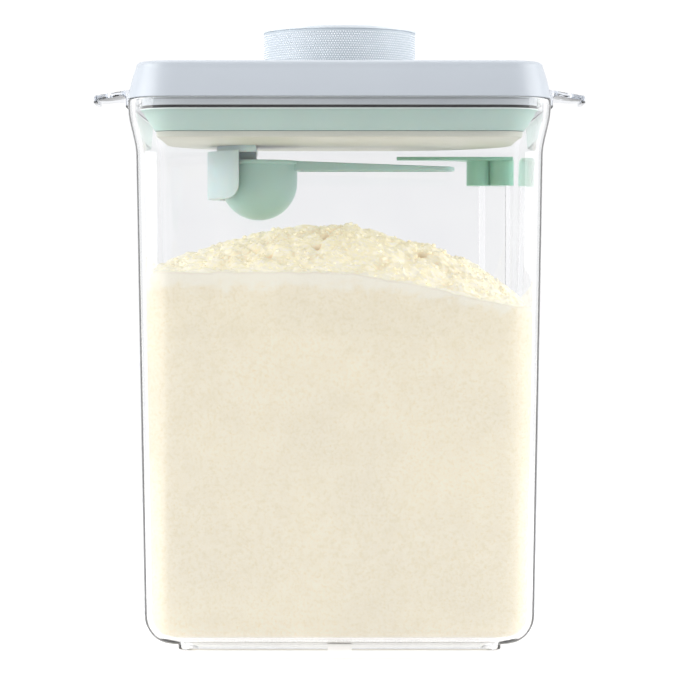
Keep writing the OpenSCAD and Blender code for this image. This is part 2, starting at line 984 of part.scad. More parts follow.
module handle_plan(inset = 0) {
    tip_x = bowl_x + handle_reach - handle_hy * 0.8;
    translate([bowl_x + (inset > 0 ? bowl_r + 0.8 : 0), bowl_y - handle_hy + inset])
        square([
            tip_x - bowl_x - (inset > 0 ? bowl_r + 0.8 : 0),
            2 * (handle_hy - inset)
        ]);
    translate([tip_x, bowl_y])
        scale([0.8, 1])
            circle(handle_hy - inset);
}

module handle() {
    difference() {
        intersection() {
            translate([0, 0, handle_bottom_z - 1])
                linear_extrude(6)
                    handle_plan();
            along_y(bowl_y - 10, bowl_y + 10)
                handle_outline();
        }
        intersection() {
            translate([0, 0, handle_bottom_z - 2])
                linear_extrude(7)
                    handle_plan(handle_skin);
            along_y(bowl_y - 10, bowl_y + 10)
                handle_outline(handle_skin);
        }
    }
}

module scoop() {
    color([0.63, 0.75, 0.7])
        difference() {
            union() {
                translate([bowl_x, bowl_y, bowl_centre_z])
                    sphere(bowl_r);
                translate([bowl_x, bowl_y, bowl_centre_z])
                    cylinder(h = bowl_rim_z - bowl_centre_z, r = bowl_r);
                translate([bowl_x, bowl_y, bowl_rim_z - rim_flange_h])
                    cylinder(h = rim_flange_h, r = bowl_r + rim_flange);
                handle();
            }
            translate([bowl_x, bowl_y, bowl_centre_z])
                sphere(bowl_r - bowl_wall);
            translate([bowl_x, bowl_y, bowl_centre_z])
                cylinder(h = bowl_depth, r = bowl_r - bowl_wall);
        }
}

container();
leveller();
formula_powder();
lid_cover();
lid_frame();
gasket();
lid_screws();
rocker_pivot_pins();
latch_pivot_pin();
return_springs();
button_cap();
button_sleeve();
button_carrier();
latch_cam();
latch_follower();
seal_plate();
scoop_holder();
rocker_left();
rocker_right();
link_pin_left();
link_pin_right();
scoop();
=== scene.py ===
"""Looks of the formula dispenser: clear box, powder, push-button lid, gasket, scoop and leveller.

Lengths are in millimetres until a mesh is made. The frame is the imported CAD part's: +Z up,
-Y the front, origin in the middle of the base.
"""

import math
import random

import bmesh
import bpy
import numpy as np
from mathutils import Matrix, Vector, noise


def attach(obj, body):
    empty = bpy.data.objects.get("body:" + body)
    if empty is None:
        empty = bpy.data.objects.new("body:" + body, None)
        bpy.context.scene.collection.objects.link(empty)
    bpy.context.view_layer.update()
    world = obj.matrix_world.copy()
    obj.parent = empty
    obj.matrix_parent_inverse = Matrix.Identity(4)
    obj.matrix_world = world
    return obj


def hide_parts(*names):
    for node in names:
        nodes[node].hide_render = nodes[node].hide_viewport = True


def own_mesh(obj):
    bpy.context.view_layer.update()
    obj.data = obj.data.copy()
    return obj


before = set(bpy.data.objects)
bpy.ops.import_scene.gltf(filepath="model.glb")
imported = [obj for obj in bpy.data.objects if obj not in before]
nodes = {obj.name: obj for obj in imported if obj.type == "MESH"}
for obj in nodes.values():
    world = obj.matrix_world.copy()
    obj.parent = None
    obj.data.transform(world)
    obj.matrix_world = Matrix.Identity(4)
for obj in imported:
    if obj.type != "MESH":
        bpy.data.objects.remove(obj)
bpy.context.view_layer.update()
MM = 0.001

# ---------- driving dimensions, as in the CAD part ----------

MOUTH_HW = 71.0
DEPTH_STEP = 13.0
RIM_Z = 185.2
WALL = 2.2
SHOULDER_Z = 166.0
FLARE = 2.7
DRAFT = 2.8
FILLET = 10.0
RIM_CORNER_R = 16.0
MIN_CORNER_R = 5.0
FOOT_H = 2.0
FOOT_HW = 54.4
FOOT_WALL = 2.2
FOOT_NOTCH = 8.0
RAILS = ((51.4, 1.0, 46.8), (61.2, 1.2, 44.6))
RAIL_TOP = 168.7
LID_H = 12.3
LID_GAP = 0.1
BUTTON_R = 26.5
BUTTON_RISE = 14.5
CAP_H = 1.8
GASKET_H = 7.6
SPRING_POS = 13.0
SPRING_R = 3.4
SPRING_WIRE = 0.4
SPRING_TURNS = 8
BOWL = (-28.4, 20.0)
BOWL_R = 13.5
BOWL_RIM_Z = 167.4
BOWL_DEPTH = 20.9
BOWL_WALL = 1.2
HANDLE_REACH = 69.0
HANDLE_HY = 5.0
HEAP_Z = 144.0
HEAP_AT = (-4.0, 8.0)

BODY_HW = MOUTH_HW - FLARE
BASE_HW = BODY_HW - DRAFT
FILLET_TOP = FOOT_H + FILLET
FLOOR_Z = FOOT_H + WALL
FLARE_TOP = RIM_Z - 2.7
LID_Z0 = RIM_Z + LID_GAP
LID_TOP = RIM_Z + LID_H
GASKET_TOP = RIM_Z - 3.1
GASKET_Z = GASKET_TOP - GASKET_H
NECK_HW = MOUTH_HW - 5.0
TUB_HW = MOUTH_HW - 13.0
TUB_FLOOR_Z = GASKET_TOP - 3.9
PLATE_HW = MOUTH_HW - 9.5
PLATE_T = 2.2
BUTTON_TOP = LID_TOP + BUTTON_RISE
GRIP_R = BUTTON_R - 0.3
SKIRT_Z = LID_TOP - 6.0
CARRIER_TOP = BUTTON_TOP - CAP_H
CARRIER_Z = CARRIER_TOP - 2.8
CORNER_STEPS = 14


def smooth(t):
    """0 to 1 with flat ends."""
    t = min(1.0, max(0.0, t))
    return t * t * (3 - 2 * t)


def outer_hw(z):
    """Half width of the box's outer wall at a height."""
    if z < SHOULDER_Z:
        return BASE_HW + DRAFT * (z - FILLET_TOP) / (SHOULDER_Z - FILLET_TOP)
    return BODY_HW + FLARE * smooth((z - SHOULDER_Z) / (FLARE_TOP - SHOULDER_Z))


def corner_r(hw):
    """Plan radius of a corner of the wall that is hw from the middle."""
    return max(MIN_CORNER_R, RIM_CORNER_R - (MOUTH_HW - hw))


def arc(cx, cz, r, a0, a1, steps):
    """Points of an arc in the profile plane, from angle a0 to a1 in degrees."""
    turns = [math.radians(a0 + (a1 - a0) * i / steps) for i in range(steps + 1)]
    return [(cx + r * math.cos(t), cz + r * math.sin(t)) for t in turns]


# ---------- mesh helpers ----------


def section(hw, r=None, side=0, steps=CORNER_STEPS):
    """Rounded rectangle seen from above, anticlockwise, with extra points along each side."""
    r = corner_r(hw) if r is None else r
    hd = hw - DEPTH_STEP
    out = []
    for k, (sx, sy) in enumerate(((1, 1), (-1, 1), (-1, -1), (1, -1))):
        for i in range(steps + 1):
            a = math.radians(90 * (k + i / steps))
            out.append((sx * (hw - r) + r * math.cos(a), sy * (hd - r) + r * math.sin(a)))
        if side:
            x0, y0 = out[-1]
            b = math.radians(90 * (k + 1))
            nx, ny = ((-1, 1), (-1, -1), (1, -1), (1, 1))[k]
            x1, y1 = nx * (hw - r) + r * math.cos(b), ny * (hd - r) + r * math.sin(b)
            for i in range(1, side + 1):
                t = i / (side + 1)
                out.append((x0 + (x1 - x0) * t, y0 + (y1 - y0) * t))
    return out


def circle(r, n, cx=0.0, cy=0.0):
    return [
        (cx + r * math.cos(2 * math.pi * i / n), cy + r * math.sin(2 * math.pi * i / n))
        for i in range(n)
    ]


def stack(rings, closed=False):
    """Vertices and faces of rings joined in order, capped unless it closes on itself."""
    n = len(rings[0])
    verts = [p for ring in rings for p in ring]
    faces = []
    last = len(rings) if closed else len(rings) - 1
    for j in range(last):
        k = (j + 1) % len(rings)
        for i in range(n):
            m = (i + 1) % n
            faces.append((j * n + i, j * n + m, k * n + m, k * n + i))
    if not closed:
        faces.append(tuple(range(n - 1, -1, -1)))
        faces.append(tuple((len(rings) - 1) * n + i for i in range(n)))
    return verts, faces


def swept(profile, closed=False, side=0):
    """A profile of (half width, z) pairs swept round the box."""
    rings = [[(x, y, z) for x, y in section(hw, side=side)] for hw, z in profile]
    return stack(rings, closed)


def lathe(profile, n=96, cx=0.0, cy=0.0, closed=True):
    """A profile of (radius, z) pairs turned about an upright axis. Radii near 0 make the poles."""
    rings = [[(x, y, z) for x, y in circle(max(r, 0.01), n, cx, cy)] for r, z in profile]
    return stack(rings, closed)


def prism_y(outline, y0, y1):
    """An outline in X and Z, extruded along Y."""
    return stack([[(x, y1, z) for x, z in outline], [(x, y0, z) for x, z in outline]])


def prism_z(outline, z0, z1):
    """An outline seen from above, anticlockwise, extruded upwards."""
    return stack([[(x, y, z0) for x, y in outline], [(x, y, z1) for x, y in outline]])


def block(x0, x1, y0, y1, z0, z1):
    return prism_z([(x0, y0), (x1, y0), (x1, y1), (x0, y1)], z0, z1)


def mirrored(shape):
    """The same shape on the other side of the middle plane."""
    verts, faces = shape
    return [(-x, y, z) for x, y, z in verts], [tuple(reversed(f)) for f in faces]


def joined(*shapes):
    verts, faces = [], []
    for v, f in shapes:
        base = len(verts)
        verts += v
        faces += [tuple(i + base for i in face) for face in f]
    return verts, faces


def obj_from(name, shape):
    """A Blender object from vertices in millimetres and faces, with outward normals."""
    verts, faces = shape
    mesh = bpy.data.meshes.new(name)
    mesh.from_pydata([(x * MM, y * MM, z * MM) for x, y, z in verts], [], faces)
    bm = bmesh.new()
    bm.from_mesh(mesh)
    bmesh.ops.recalc_face_normals(bm, faces=bm.faces)
    bm.to_mesh(mesh)
    bm.free()
    obj = bpy.data.objects.new(name, mesh)
    bpy.context.scene.collection.objects.link(obj)
    return obj


def applied(obj):
    """Bakes an object's modifiers into its mesh."""
    dg = bpy.context.evaluated_depsgraph_get()
    mesh = bpy.data.meshes.new_from_object(obj.evaluated_get(dg))
    obj.modifiers.clear()
    old = obj.data
    obj.data = mesh
    bpy.data.meshes.remove(old)
    return obj


def carve(obj, operation, *tools):
    """Exact boolean of obj with each tool, which is then removed."""
    for tool in tools:
        mod = obj.modifiers.new("cut", "BOOLEAN")
        mod.operation = operation
        mod.solver = "EXACT"
        mod.object = tool
        applied(obj)
        bpy.data.objects.remove(tool)
    return obj


def rounded(obj, width, segments=2, angle=32):
    """Small rounded edges, as a moulding has."""
    mod = obj.modifiers.new("edge", "BEVEL")
    mod.width = width * MM
    mod.segments = segments
    mod.limit_method = "ANGLE"
    mod.angle_limit = math.radians(angle)
    mod.use_clamp_overlap = True
    mod.miter_outer = "MITER_ARC"
    return applied(obj)


def from_cad(name, *sources):
    """A new object with the meshes of these CAD nodes, welded and with flat areas merged."""
    bm = bmesh.new()
    for s in sources:
        bm.from_mesh(nodes[s].data)
    bmesh.ops.remove_doubles(bm, verts=bm.verts, dist=2e-6)
    bmesh.ops.dissolve_limit(
        bm, angle_limit=math.radians(0.6), verts=bm.verts, edges=bm.edges
    )
    mesh = bpy.data.meshes.new(name)
    bm.to_mesh(mesh)
    bm.free()
    obj = bpy.data.objects.new(name, mesh)
    bpy.context.scene.collection.objects.link(obj)
    return obj


def finished(obj, material, body, slot, *cad_nodes, angle=35):
    """Shading, material and body of a piece, and the CAD nodes it stands for, which it hides. The
    slot is not used.
    """
    obj.data.materials.clear()
    obj.data.materials.append(material)
    obj.data.polygons.foreach_set("use_smooth", [True] * len(obj.data.polygons))
    obj.data.set_sharp_from_angle(angle=math.radians(angle))
    obj.data.update()
    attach(obj, body)
    if cad_nodes:
        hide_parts(*cad_nodes)
    return obj


# ---------- materials ----------


def linear(rgb):
    """Linear colour from 0-255 display values."""
    out = []
    for c in rgb:
        c /= 255
        out.append(c / 12.92 if c <= 0.04045 else ((c + 0.055) / 1.055) ** 2.4)
    return (*out, 1.0)


def noise_node(nt, coords, scale, detail=3.0, rough=0.5):
    n = nt.nodes.new("ShaderNodeTexNoise")
    n.inputs["Scale"].default_value = scale
    n.inputs["Detail"].default_value = detail
    n.inputs["Roughness"].default_value = rough
    nt.links.new(coords, n.inputs["Vector"])
    return n.outputs["Fac"]


def spread(nt, fac, low, high, out_low, out_high):
    n = nt.nodes.new("ShaderNodeMapRange")
    n.inputs["From Min"].default_value = low
    n.inputs["From Max"].default_value = high
    n.inputs["To Min"].default_value = out_low
    n.inputs["To Max"].default_value = out_high
    nt.links.new(fac, n.inputs["Value"])
    return n.outputs["Result"]


def mixed(nt, fac, a, b):
    n = nt.nodes.new("ShaderNodeMix")
    n.data_type = "RGBA"
    nt.links.new(fac, n.inputs["Factor"])
    for value, key in ((a, "A"), (b, "B")):
        socket = [s for s in n.inputs if s.name == key and s.type == "RGBA"][0]
        if isinstance(value, bpy.types.NodeSocket):
            nt.links.new(value, socket)
        else:
            socket.default_value = value
    return [s for s in n.outputs if s.type == "RGBA"][0]


def bumped(nt, height, distance, strength, normal=None):
    n = nt.nodes.new("ShaderNodeBump")
    n.inputs["Strength"].default_value = strength
    n.inputs["Distance"].default_value = distance * MM
    nt.links.new(height, n.inputs["Height"])
    if normal is not None:
        nt.links.new(normal, n.inputs["Normal"])
    return n.outputs["Normal"]


def plastic(
    name,
    colour,
    tint=None,
    rough=(0.28, 0.4),
    grain=900.0,
    grain_depth=0.012,
    wave=18.0,
    wave_depth=0.05,
    sockets=None,
):
    """Moulded plastic: faint drift of colour, mottled gloss, a fine grain and slow waviness."""
    mat = bpy.data.materials.new(name)
    mat.use_nodes = True
    nt = mat.node_tree
    shader = nt.nodes["Principled BSDF"]
    coords = nt.nodes.new("ShaderNodeTexCoord").outputs["Object"]
    drift = noise_node(nt, coords, 28.0, 4.0)
    base = linear(colour)
    other = linear(tint) if tint else tuple(0.93 * c for c in base[:3]) + (1.0,)
    share = spread(nt, drift, 0.35, 0.7, 0.0, 1.0)
    nt.links.new(mixed(nt, share, base, other), shader.inputs["Base Color"])
    gloss = noise_node(nt, coords, 120.0, 5.0, 0.6)
    nt.links.new(spread(nt, gloss, 0.3, 0.7, *rough), shader.inputs["Roughness"])
    slow = bumped(nt, noise_node(nt, coords, wave, 2.0), wave_depth, 0.5)
    fine = noise_node(nt, coords, grain, 3.0)
    nt.links.new(bumped(nt, fine, grain_depth, 0.5, slow), shader.inputs["Normal"])
    for key, value in (sockets or {}).items():
        shader.inputs[key].default_value = value
    return mat


def clear_plastic():
    """Clear moulded plastic that lets lamps through to what is inside it."""
    mat = plastic(
        "clear_plastic",
        (254, 254, 254),
        (250, 250, 251),
        rough=(0.015, 0.035),
        grain=260.0,
        grain_depth=0.003,
        wave=14.0,
        wave_depth=0.035,
        sockets={"Transmission Weight": 1.0, "IOR": 1.49},
    )
    nt = mat.node_tree
    path = nt.nodes.new("ShaderNodeLightPath")
    clear = nt.nodes.new("ShaderNodeBsdfTransparent")
    clear.inputs["Color"].default_value = (0.96, 0.975, 0.975, 1)
    mix = nt.nodes.new("ShaderNodeMixShader")
    nt.links.new(path.outputs["Is Shadow Ray"], mix.inputs[0])
    nt.links.new(nt.nodes["Principled BSDF"].outputs[0], mix.inputs[1])
    nt.links.new(clear.outputs[0], mix.inputs[2])
    nt.links.new(mix.outputs[0], nt.nodes["Material Output"].inputs["Surface"])
    return mat


def metal(name, colour, rough=(0.29, 0.4)):
    """Drawn and plated steel: a fine grain of polish and small changes of gloss."""
    return plastic(
        name,
        colour,
        rough=rough,
        grain=2200.0,
        grain_depth=0.01,
        wave=60.0,
        wave_depth=0.02,
        sockets={"Metallic": 1.0},
    )


def attribute(nt, name):
    """A value stored with the mesh."""
    n = nt.nodes.new("ShaderNodeAttribute")
    n.attribute_name = name
    return n.outputs["Fac"]


# painted glow: an emission that lights the powder, most on the heap, which the lid shades; its
# strength in packed powder and in the loose heap
POWDER_PAINTED_GLOW = (0.07, 0.23)


def powder_material():
    """Dry milk powder: cream grains and dimples, a pale film of dust, painted shade in the hollows
    and a painted glow.
    """
    mat = bpy.data.materials.new("formula_powder")
    mat.use_nodes = True
    nt = mat.node_tree
    shader = nt.nodes["Principled BSDF"]
    coords = nt.nodes.new("ShaderNodeTexCoord").outputs["Object"]
    cloud = spread(nt, noise_node(nt, coords, 160.0, 6.0, 0.6), 0.38, 0.68, 0.0, 1.0)
    packed = mixed(nt, cloud, linear((253, 244, 222)), linear((250, 240, 216)))
    # the heap's loose powder takes whiter colours: partly its own paleness, partly painted light
    # on the heap, which the lid shades
    lumps = spread(nt, noise_node(nt, coords, 330.0, 6.0, 0.7), 0.42, 0.6, 0.0, 1.0)
    loose = mixed(nt, lumps, linear((254, 243, 210)), linear((255, 253, 240)))
    body = mixed(nt, attribute(nt, "crown"), packed, loose)
    grains = spread(nt, noise_node(nt, coords, 1100.0, 4.0, 0.7), 0.3, 0.46, 0.0, 1.0)
    speckled = mixed(nt, grains, linear((243, 228, 190)), body)
    dimples = spread(nt, noise_node(nt, coords, 900.0, 4.0, 0.6), 0.34, 0.5, 0.0, 1.0)
    pitted = mixed(nt, dimples, linear((245, 234, 205)), speckled)
    dusted = mixed(nt, attribute(nt, "veil"), pitted, linear((255, 251, 238)))
    # painted shade: pits and creases darkened to a deep yellow
    shaded_hollows = mixed(nt, attribute(nt, "hollow"), dusted, linear((188, 154, 80)))
    nt.links.new(shaded_hollows, shader.inputs["Base Color"])
    gloss = noise_node(nt, coords, 600.0, 3.0)
    nt.links.new(spread(nt, gloss, 0.3, 0.7, 0.85, 1.0), shader.inputs["Roughness"])
    coarse = bumped(nt, noise_node(nt, coords, 480.0, 7.0, 0.7), 0.35, 0.5)
    fine = noise_node(nt, coords, 1500.0, 4.0, 0.7)
    nt.links.new(bumped(nt, fine, 0.16, 0.5, coarse), shader.inputs["Normal"])
    shader.inputs["Specular IOR Level"].default_value = 0.15
    # painted light: the powder glows, more on the heap
    shader.inputs["Emission Color"].default_value = (1.0, 0.92, 0.74, 1)
    glow = spread(nt, attribute(nt, "crown"), 0.0, 1.0, *POWDER_PAINTED_GLOW)
    nt.links.new(glow, shader.inputs["Emission Strength"])
    return mat


MAT = {
    "clear": clear_plastic(),
    # painted shade: the cover is a grey darker than the cap, though both are one white plastic
    "white": plastic("white_plastic", (175, 181, 188), (173, 179, 186), rough=(0.29, 0.36)),
    "cap": plastic("cap_plastic", (220, 225, 229), (216, 222, 226), rough=(0.3, 0.38)),
    # painted shade: the sleeve is greyer than the dots of the same plastic, for the shade between
    # them
    "grip_shaded": plastic(
        "shaded_grip_plastic", (186, 194, 201), (178, 187, 195), rough=(0.45, 0.6), grain_depth=0.02
    ),
    "dots": plastic("dot_plastic", (240, 243, 246), (232, 236, 241), rough=(0.3, 0.42)),
    "frame": plastic(
        "frame_plastic", (214, 219, 223), (206, 212, 217), rough=(0.3, 0.45), grain_depth=0.02
    ),
    "mechanism": plastic(
        "mechanism_plastic", (226, 226, 218), (218, 218, 209), rough=(0.4, 0.55)
    ),
    "plate": plastic(
        "plate_plastic",
        (202, 203, 190),
        (199, 200, 187),
        rough=(0.38, 0.46),
        grain_depth=0.004,
        wave_depth=0.01,
    ),
    "gasket": plastic(
        "gasket_silicone",
        (178, 203, 194),
        (173, 199, 190),
        rough=(0.42, 0.56),
        grain=500.0,
        grain_depth=0.02,
        sockets={"Subsurface Weight": 0.15, "Subsurface Scale": 0.003},
    ),
    "holder": plastic(
        "holder_plastic",
        (200, 219, 222),
        (196, 215, 217),
        rough=(0.29, 0.36),
        sockets={"Subsurface Weight": 0.3, "Subsurface Scale": 0.004},
    ),
    "scoop": plastic(
        "scoop_plastic",
        (169, 204, 199),
        (165, 200, 194),
        rough=(0.29, 0.38),
        sockets={"Subsurface Weight": 0.2, "Subsurface Scale": 0.003},
    ),
    "leveller": plastic(
        "leveller_plastic",
        (142, 198, 174),
        (134, 191, 167),
        rough=(0.29, 0.38),
        sockets={"Subsurface Weight": 0.15, "Subsurface Scale": 0.002},
    ),
    "ear": plastic(
        "clear_ear",
        (226, 229, 235),
        (220, 223, 230),
        rough=(0.03, 0.07),
        grain=260.0,
        grain_depth=0.004,
        sockets={"Transmission Weight": 1.0, "IOR": 1.49},
    ),
    # painted shade: a near-black for rings put in joints where there is only shade
    "gap": plastic("joint_shadow", (14, 18, 18), (10, 14, 14), rough=(0.7, 0.85)),
    # painted shade: a dark green-grey for the ring in the joint under the gasket
    "seam_shade": plastic("seam_shadow", (96, 118, 110), (86, 108, 100), rough=(0.5, 0.7)),
    # painted highlight: a pale ring along the gasket's top
    "lip": plastic("painted_lip_highlight", (236, 245, 242), (228, 240, 236), rough=(0.3, 0.4)),
    "steel": metal("zinc_steel", (205, 207, 210)),
    "powder": powder_material(),
}

# ---------- clear box ----------

RIM_EDGE = 0.55
FOOT_EDGE = 0.5
# how far a foot or a rail is sunk into the wall that it stands on
SUNK = 0.6
RAIL_DEPTH = 12.0
SMALL_EDGE = 0.3
# beyond the part in any direction
BEYOND = 100.0


def box_profile():
    """The outer and the inner outline of the wall, each from the base up to the rim."""
    heights = [FILLET_TOP + (SHOULDER_Z - FILLET_TOP) * i / 6 for i in range(1, 6)]
    heights += [SHOULDER_Z + (FLARE_TOP - SHOULDER_Z) * i / 12 for i in range(13)]
    outer = arc(BASE_HW - FILLET, FILLET_TOP, FILLET, -90, 0, 12)
    outer += [(outer_hw(z), z) for z in heights]
    outer += arc(MOUTH_HW - RIM_EDGE, RIM_Z - RIM_EDGE, RIM_EDGE, 0, 90, 4)
    inner_r = FILLET - WALL
    inner = arc(BASE_HW - WALL - inner_r, FLOOR_Z + inner_r, inner_r, -90, 0, 12)
    inner += [(outer_hw(z) - WALL, z) for z in heights]
    inner += arc(MOUTH_HW - WALL + RIM_EDGE, RIM_Z - RIM_EDGE, RIM_EDGE, 180, 90, 4)
    return outer, inner


def foot_profile():
    """The ring that the box stands on, with rounded lower edges."""
    inside, edge = FOOT_HW - FOOT_WALL, FOOT_EDGE
    return (
        [(inside, FOOT_H + SUNK), (inside, edge)]
        + arc(inside + edge, edge, edge, 180, 270, 3)
        + arc(FOOT_HW - edge, edge, edge, 270, 360, 3)
        + [(FOOT_HW, FOOT_H + SUNK)]
    )


EAR_REACH = 14.0
EAR_ROOT_HY = 21.0
EAR_TIP_HY = 12.0
EAR_CORNER = 5.0
EAR_GAP = 0.35
EAR_WEB = 1.7
EAR_PLATE = 1.6
EAR_LIP = 2.5
EAR_ROOT_TOP = 4.7
EAR_TIP_TOP = 3.4
EAR_SUNK = 1.2
EAR_HEEL = 1.2
EAR_DROP = 2.6
EAR_FOOT = 0.6
EAR_LIP_T = 1.6
EAR_NOSE = (0.6, 0.7)
EAR_NOTCH_Z = 0.3


def ear():
    """A hand ear: a web outside the lid, a plate that droops outwards and a turned-down lip."""
    tip = EAR_REACH
    under = EAR_ROOT_TOP - EAR_PLATE
    web = EAR_GAP + EAR_WEB
    outline = [
        (-EAR_SUNK, -EAR_DROP),
        (EAR_FOOT, -EAR_DROP),
        (web, -EAR_HEEL),
        (web, under - EAR_HEEL),
        (web + EAR_HEEL, under - 0.2),
        (tip - EAR_LIP_T - 0.2, EAR_TIP_TOP - EAR_PLATE + 0.1),
        (tip - EAR_LIP_T, EAR_TIP_TOP - EAR_LIP),
        (tip, EAR_TIP_TOP - EAR_LIP),
        (tip, EAR_TIP_TOP - EAR_NOSE[1]),
        (tip - EAR_NOSE[0], EAR_TIP_TOP),
        (EAR_GAP, EAR_ROOT_TOP),
        (EAR_GAP, -EAR_NOTCH_Z),
        (-EAR_SUNK, -EAR_NOTCH_Z),
    ]
    outline = [(MOUTH_HW + x, RIM_Z + z) for x, z in outline]
    solid = obj_from("ear", prism_y(outline, -EAR_ROOT_HY, EAR_ROOT_HY))
    tip_x = MOUTH_HW + EAR_REACH - EAR_CORNER
    tip_y = EAR_TIP_HY - EAR_CORNER
    # a straight side leaves the tip's arc where it is square to the line to the root
    inner_x, root_x = MOUTH_HW - 2, MOUTH_HW + 1
    dx, dy = tip_x - MOUTH_HW - 1, EAR_ROOT_HY - tip_y
    lean = math.degrees(math.atan2(dx, dy)) + math.degrees(
        math.asin(EAR_CORNER / math.hypot(dx, dy))
    )
    plan = [(inner_x, -EAR_ROOT_HY), (root_x, -EAR_ROOT_HY)]
    plan += arc(tip_x, -tip_y, EAR_CORNER, -lean, 0, 8)
    plan += arc(tip_x, tip_y, EAR_CORNER, 0, lean, 8)
    plan += [(root_x, EAR_ROOT_HY), (inner_x, EAR_ROOT_HY)]
    trim = obj_from("ear_plan", prism_z(plan, RIM_Z - 5, RIM_Z + 7))
    carve(solid, "INTERSECT", trim)
    return rounded(solid, SMALL_EDGE, 2, 40)


def make_box():
    """The clear box: shell, notched foot ring, two ears and two rails as one solid."""
    outer, inner = box_profile()
    box = obj_from("clear_box", swept(outer + inner[::-1]))
    foot = obj_from("foot", swept(foot_profile(), closed=True))
    half = FOOT_NOTCH / 2
    notches = [
        block(-half, half, -BEYOND, BEYOND, -1, FOOT_H - FOOT_EDGE),
        block(-BEYOND, BEYOND, -half, half, -1, FOOT_H - FOOT_EDGE),
    ]
    carve(foot, "DIFFERENCE", *[obj_from("notch", n) for n in notches])
    right = ear()
    left = right.copy()
    left.data = right.data.copy()
    bpy.context.scene.collection.objects.link(left)
    for v in left.data.vertices:
        v.co.x = -v.co.x
    left.data.flip_normals()
    fill = [(hw - 0.4, z) for hw, z in outer]
    rails = []
    for x, half, front in RAILS:
        shape = block(x - half, x + half, front, front + RAIL_DEPTH, FLOOR_Z - SUNK, RAIL_TOP)
        rail = rounded(obj_from("rail", shape), SMALL_EDGE, 2)
        carve(rail, "INTERSECT", obj_from("fill", swept(fill)))
        rails.append(rail)
    carve(box, "UNION", foot, right, left, *rails)
    finished(box, MAT["clear"], "container", "clear_plastic", "container", angle=28)
    box.data.materials.append(MAT["ear"])
    for face in box.data.polygons:
        if abs(face.center.x) > (MOUTH_HW + 0.05) * MM:
            face.material_index = 1
    return box


# ---------- powder ----------

POWDER_GAP = 0.25
HEAP_ROUND = 9.0
SLOPE_LEFT = 0.34
SLOPE_RIGHT = 0.39
SLOPE_Y = 0.55
# the settled powder lies this far below the heap's top, and slumps to the right
SETTLED_DROP = 17.1
SLUMP = 12.0
SLUMP_FROM = -5.0
SLUMP_OVER = 75.0
# the heap's right flank falls away by this much more, this far from its top
FLANK_DROP = 9.0
FLANK_FROM = 40.0
FLANK_OVER = 45.0
HEAP_BLEND = 2.0
# size and height of each kind of clump
CLUMPS = ((8.0, 1.5), (3.6, 1.2), (1.9, 0.8))
ROLL_SIZE = 13.0
ROLL_H = 1.3
CREASE_W = 0.22
CREASE_DEPTH = 0.22
PIT_DEPTH = 2.6
# clumps keep this share of their height at the wall, and are whole this far in from it
WALL_SHARE = 0.3
EDGE_SHARE = 0.06
# the same fractal for every ragged edge and roll: fall-off, spacing, octaves
FRACTAL = (0.9, 2.1, 3)
# middle and radius of the deep pits between clumps
PITS = (
    (-5.0, -5.0, 3.2),
    (-5.5, -10.0, 2.0),
    (-7.5, -17.0, 2.2),
    (-24.0, -21.0, 1.8),
    (19.5, -3.0, 2.6),
    (28.0, -13.0, 3.2),
    (33.0, -19.0, 2.0),
)


def inner_hw(z):
    """Half width of the box's inner wall at a height."""
    r = FILLET - WALL
    if z < FLOOR_Z + r:
        return BASE_HW - WALL - r + math.sqrt(max(0.0, r * r - (FLOOR_Z + r - z) ** 2))
    return outer_hw(max(z, FILLET_TOP)) - WALL


def settled_height(x):
    """Level of the settled powder round the heap, slumped on the right."""
    return HEAP_Z - SETTLED_DROP - SLUMP * smooth((x - SLUMP_FROM) / SLUMP_OVER)


def heap_height(x, y):
    """The CAD heap: a rounded cone that runs out into settled powder."""
    dx = x - HEAP_AT[0]
    kx = SLOPE_LEFT if dx < 0 else SLOPE_RIGHT
    cone = HEAP_Z + HEAP_ROUND - FLANK_DROP * smooth((dx - FLANK_FROM) / FLANK_OVER)
    cone -= math.sqrt(HEAP_ROUND**2 + (kx * dx) ** 2 + (SLOPE_Y * (y - HEAP_AT[1])) ** 2)
    level = settled_height(x)
    return level + HEAP_BLEND * math.log(1 + math.exp((cone - level) / HEAP_BLEND))


def clumps(x, y, edge):
    """Height of the loose clumps at a point, and how deep in a pit it is, which sets the painted
    shade there.

    edge runs from 0 at the wall, where the clumps are low and there is no pit, to 1.
    """
    p = Vector((x, y, 0.0))
    lift = noise.fractal(p / ROLL_SIZE, *FRACTAL) * ROLL_H
    crease = 0.0
    for size, height in CLUMPS:
        near = noise.voronoi(p / size + Vector((size, 3.1, 0.7)))[0]
        lift += height * (0.5 - min(near[0], 1.0) ** 1.3)
        crease = max(crease, 1 - smooth((near[1] - near[0]) / CREASE_W))
    patch = smooth(0.35 + 1.6 * noise.noise(p / 9.0 + Vector((2.7, 8.1, 0.4))))
    pit = CREASE_DEPTH * crease * patch
    for cx, cy, r in PITS:
        away = math.hypot(x - cx, (y - cy) * 0.7) / r
        away += 0.5 * noise.noise(p / 1.7)
        pit = max(pit, 1 - smooth(away))
    return (lift - PIT_DEPTH * pit) * (WALL_SHARE + (1 - WALL_SHARE) * edge), pit * edge


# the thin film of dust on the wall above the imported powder, and over the heap's foot
VEIL_H = 4.7
VEIL_THIN = 0.6
VEIL_FOOT = 0.4
VEIL_SHARE = 0.75
VEIL_FADE = 3.2
VEIL_THIN_OVER = 60.0


